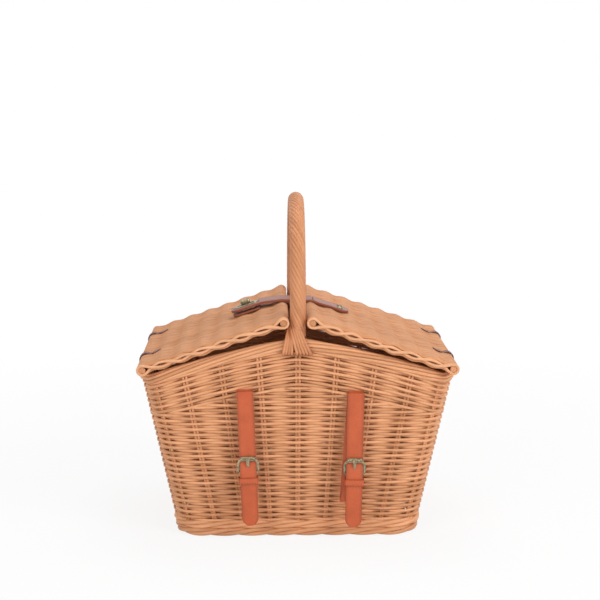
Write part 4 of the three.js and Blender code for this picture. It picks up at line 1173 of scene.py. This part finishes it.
class BASKET_OT_straps(bpy.types.Operator):
    """Hang the two blanket straps on the front, with their rear straps, keepers, buckles and prongs"""

    bl_idname = "basket.straps"
    bl_label = "Hang Straps"

    width = 21.0
    thick = 2.6
    rear_y = -2.3
    rear_lean = {"left": 0.0, "right": math.tan(math.radians(3.0))}
    loop_y = -5.9
    loop_top = -107.3
    loop_bottom = -140.0
    front_y = -5.2
    buckle_y = -8.3
    over_y = -11.4
    tail_y = -8.8
    tip_z = -173.0
    buckle_z = -96.0
    hole_z = -99.0
    heel_z = -105.6
    prong_slot = (2.8, 17.0, 40.0)
    prong_slot_corner = 1.3
    prong_line = ((buckle_y, heel_z + 2.2), (buckle_y, heel_z + 5.6),
                  (buckle_y - 2.9, -90.6), (buckle_y - 2.9, -85.0))
    prong_width = 2.2
    prong_thick = 2.0
    prong_widens = ((-103.0, -86.0), (0.5, 2.0))
    buckle_size = (28.5, 22.0, 2.8)
    buckle_corner = 8.5
    buckle_window = (22.4, 16.0, 9.0)
    window_corner = 5.6
    crest_size = (20.0, 5.6, 3.2)
    crest_corner = 2.4
    crest_up = 10.2
    crest_proud = 0.4
    bead_count = 6
    bead_reach = 8.0
    bead_radius = 1.7
    bead_proud = 1.6
    keeper_z = -114.0
    keeper_half = 11.6
    keeper_back = -1.2
    keeper_over = 2.1
    keeper_width = 8.0
    keeper_thick = 1.3
    stitch_count = 6
    stitch_reach = 8.5
    stitch_radius = 0.55
    stitch_drop = 2.4
    stitch_ends = (0.4, -0.25)
    root_y = 8.9
    root_tab = 22.0
    front_line = ((front_y, 0.0), (front_y, -87.8), (over_y, -102.8), (over_y, -108.4),
                  (tail_y - 1.0, -127.4), (tail_y, tip_z))
    rear_line = ((rear_y, 0.0), (rear_y, loop_bottom + 1.8), (rear_y - 0.9, loop_bottom),
                 (loop_y + 0.9, loop_bottom), (loop_y, loop_bottom + 1.8), (loop_y, loop_top))
    root_line = ((-0.4, 0.0), (root_y, 0.0), (root_y - FRONT_FLARE * root_tab, root_tab))

    def execute(self, context):
        for side in LIDS:
            self.hang(side)
            self.add_keeper(side)
            self.add_buckle(side)
        return {"FINISHED"}

    def slip(self, y, z):
        """How far the rear strap hangs to one side, back to nothing where it loops up to the buckle."""
        behind = np.clip((y - self.loop_y) / (self.rear_y - self.loop_y), 0, 1)
        below = np.clip((z - self.loop_top) / (self.loop_bottom - self.loop_top), 0, 1)
        return behind * z + (1 - behind) * below * self.loop_bottom

    def belt(self, side, name, body, node, corners, tips=(0.0, 0.0), hanging=True, lean=0.0):
        """A length of strap, with a slot for the prong in the front one."""
        piece = strip(name, "strap_leather", corners,
                      lambda a, y, z: strap_points(side, a + lean * self.slip(y, z), y, z, hanging),
                      self.width, self.thick, tips)
        if node.endswith("blanket_strap"):
            tool = plate("slot_tool", *self.prong_slot, self.prong_slot_corner)
            put(tool, lambda x, y, z: strap_points(side, x, self.over_y + z, self.hole_z + y))
            cut(piece, tool)
        soften(piece, 0.55)
        settle(piece, body, "tan_leather", node)

    def hang(self, side):
        """The front strap, the rear strap that loops up to the buckle, and their root in the wall."""
        body = f"{side}_strap"
        self.belt(side, f"{side}_strap_front", body, f"{side}_blanket_strap", self.front_line,
                  tips=(0.0, self.width / 2))
        self.belt(side, f"{side}_strap_rear", body, f"{side}_rear_strap", self.rear_line,
                  lean=self.rear_lean[side])
        self.belt(side, f"{side}_strap_root", "basket", f"{side}_strap_anchor", self.root_line, hanging=False)

    def add_keeper(self, side):
        """The loop that holds the tail, with a row of stitches."""
        front, back, half = self.over_y - self.keeper_over, self.keeper_back, self.keeper_half
        loop = [(0.0, back), (half, back), (half, front), (-half, front), (-half, back), (0.0, back)]
        keeper = strip(f"{side}_keeper", "strap_leather", loop,
                       lambda a, x, y: strap_points(side, x, y, self.keeper_z + a),
                       self.keeper_width, self.keeper_thick)
        soften(keeper, 0.35)
        settle(keeper, f"{side}_strap", "tan_leather", f"{side}_strap_keeper")
        stitches = Rods(6, seed=6)
        y = front - self.keeper_thick / 2 + np.array(self.stitch_ends)
        for x in np.linspace(-self.stitch_reach, self.stitch_reach, self.stitch_count):
            ends = strap_points(side, x, y, self.keeper_z - self.stitch_drop)
            stitches.add(ends, self.stitch_radius, (0, 0, 1))
        dots = stitches.finish(f"{side}_keeper_stitches", finish("thong_leather"))
        settle(dots, f"{side}_strap", "dark_leather")

    def add_buckle(self, side):
        """A frame with a beaded crest along its top bar, and the prong through the front strap."""
        ring = plate(f"{side}_buckle", *self.buckle_size, self.buckle_corner)
        cut(ring, plate("slot_tool", *self.buckle_window, self.window_corner))
        crest = plate("crest", *self.crest_size, self.crest_corner)
        put(crest, lambda x, y, z: np.stack([x, y + self.crest_up, z - self.crest_proud], axis=-1))
        join(ring, crest)
        for x in np.linspace(-self.bead_reach, self.bead_reach, self.bead_count):
            bead = made(bpy.ops.mesh.primitive_uv_sphere_add, "crest_bead", segments=14, ring_count=10,
                        radius=self.bead_radius * MM,
                        location=(x * MM, self.crest_up * MM, -self.bead_proud * MM))
            join(ring, bead)
        put(ring, lambda x, y, z: strap_points(side, x, self.buckle_y + z, self.buckle_z + y))
        soften(ring, 0.8)
        ring.data.materials.append(finish("metal"))
        settle(ring, f"{side}_strap", "antique_metal", f"{side}_buckle_frame")
        prong = strip(
            f"{side}_prong_pin", "metal", self.prong_line,
            lambda a, y, z: strap_points(side, a * np.interp(z, *self.prong_widens), y, z),
            self.prong_width, self.prong_thick)
        soften(prong, 0.6)
        settle(prong, f"{side}_prong", "antique_metal", f"{side}_buckle_prong")


# Studio


class BASKET_OT_stage(bpy.types.Operator):
    """Set the floor, the lamps, the sky and the camera"""

    bl_idname = "basket.stage"
    bl_label = "Set Stage"

    floor_size = 40.0
    floor_glow = 0.86
    fade = (0.25, 1.2)
    sky_light = 0.36
    aim = (0.0, 0.0, 0.2)
    lamps = (
        ("key", (1.6, -1.5, 1.4), 1.3, 28.0),
        ("fill", (-1.3, -1.7, 1.0), 1.4, 13.0),
        ("top", (0.1, 0.4, 2.0), 1.2, 12.0),
    )
    camera_place = (-0.0405, -1.999, 0.600)
    camera_pitch = 8.8
    camera_yaw = -1.32
    lens_pixels = 1512.0
    picture_pixels = 600.0
    sensor = 36.0

    def execute(self, context):
        context.scene.view_settings.view_transform = "Standard"
        self.set_floor(context)
        self.set_sky(context)
        self.set_lamps()
        self.set_camera(context)
        return {"FINISHED"}

    def seen_directly(self, add):
        """A value that is 1 for what the camera sees, straight or in gloss and glass."""
        rays = add("ShaderNodeLightPath").outputs
        seen = rays["Is Camera Ray"]
        for kind in ("Is Glossy Ray", "Is Transmission Ray"):
            seen = add("ShaderNodeMath", {0: seen, 1: rays[kind]}, operation="MAXIMUM").outputs[0]
        return seen

    def away_from_middle(self, add):
        """A value that grows with the distance from the basket, until the floor is as bright as the sky."""
        place = add("ShaderNodeTexCoord").outputs["Object"]
        distance = add("ShaderNodeVectorMath", {0: place}, operation="LENGTH").outputs["Value"]
        near, far = self.fade
        fade = add("ShaderNodeMapRange", {
            "Value": distance, "From Min": near, "From Max": far, "To Min": self.floor_glow})
        return fade.outputs["Result"]

    def set_floor(self, context):
        floor = made(bpy.ops.mesh.primitive_plane_add, "studio_floor", size=self.floor_size)
        material, surface, add, _ = shader("studio_floor", context.scene.basket_colours.floor)
        surface.inputs["Roughness"].default_value = 0.9
        surface.inputs["Specular IOR Level"].default_value = 0.1
        share = add("ShaderNodeMath", {
            0: self.seen_directly(add), 1: self.away_from_middle(add)}, operation="MULTIPLY")
        glow = add("ShaderNodeEmission")
        mix = add("ShaderNodeMixShader", {
            "Fac": share.outputs[0], 1: surface.outputs[0], 2: glow.outputs[0]})
        tree = material.node_tree
        tree.links.new(mix.outputs[0], tree.nodes["Material Output"].inputs["Surface"])
        floor.data.materials.append(material)

    def set_sky(self, context):
        world = bpy.data.worlds.new("studio_sky")
        context.scene.world = world
        world.use_nodes = True
        tree = world.node_tree
        add = adder(tree)
        sky = tree.nodes["Background"]
        sky.inputs["Color"].default_value = (1, 1, 1, 1)
        strength = add("ShaderNodeMapRange", {
            "Value": self.seen_directly(add), "To Min": self.sky_light, "To Max": 1.0})
        tree.links.new(strength.outputs["Result"], sky.inputs["Strength"])

    def set_lamps(self):
        for name, place, size, power in self.lamps:
            lamp = bpy.data.lights.new(f"studio_{name}", "AREA")
            lamp.energy = power
            lamp.size = size
            holder = bpy.data.objects.new(f"studio_{name}", lamp)
            holder.location = place
            holder.rotation_euler = (Vector(self.aim) - Vector(place)).to_track_quat("-Z", "Y").to_euler()
            bpy.context.scene.collection.objects.link(holder)

    def set_camera(self, context):
        camera = bpy.data.cameras.new("studio_camera")
        camera.sensor_width = self.sensor
        camera.lens = self.sensor * self.lens_pixels / self.picture_pixels
        holder = bpy.data.objects.new("studio_camera", camera)
        holder.location = self.camera_place
        holder.rotation_euler = (math.radians(90.0 - self.camera_pitch), 0.0, math.radians(self.camera_yaw))
        context.scene.collection.objects.link(holder)
        context.scene.camera = holder


class BASKET_PT_panel(bpy.types.Panel):
    """Lists the basket's sizes, finishes and making steps"""

    bl_label = "Picnic Basket"
    bl_idname = "BASKET_PT_panel"
    bl_space_type = "VIEW_3D"
    bl_region_type = "UI"
    bl_category = "Basket"

    def draw(self, context):
        layout = self.layout
        for group in (context.scene.basket_sizes, context.scene.basket_colours):
            box = layout.box()
            for key in group.__annotations__:
                box.prop(group, key)
        for step in STEPS:
            layout.operator(step.bl_idname)


STEPS = (
    BASKET_OT_stage, BASKET_OT_wall, BASKET_OT_borders, BASKET_OT_base, BASKET_OT_handle, BASKET_OT_lids,
    BASKET_OT_thongs, BASKET_OT_ridge, BASKET_OT_straps,
)
CLASSES = (BasketSizes, BasketColours, *STEPS, BASKET_PT_panel)


def register():
    for kind in CLASSES:
        bpy.utils.register_class(kind)
    bpy.types.Scene.basket_sizes = PointerProperty(type=BasketSizes)
    bpy.types.Scene.basket_colours = PointerProperty(type=BasketColours)


def unregister():
    del bpy.types.Scene.basket_colours
    del bpy.types.Scene.basket_sizes
    for kind in reversed(CLASSES):
        bpy.utils.unregister_class(kind)


def main():
    register()
    bpy.ops.basket.stage()
    bpy.ops.basket.wall()
    bpy.ops.basket.borders()
    bpy.ops.basket.base()
    bpy.ops.basket.handle()
    bpy.ops.basket.lids()
    bpy.ops.basket.thongs()
    bpy.ops.basket.ridge()
    bpy.ops.basket.straps()


if __name__ == "__main__":
    main()
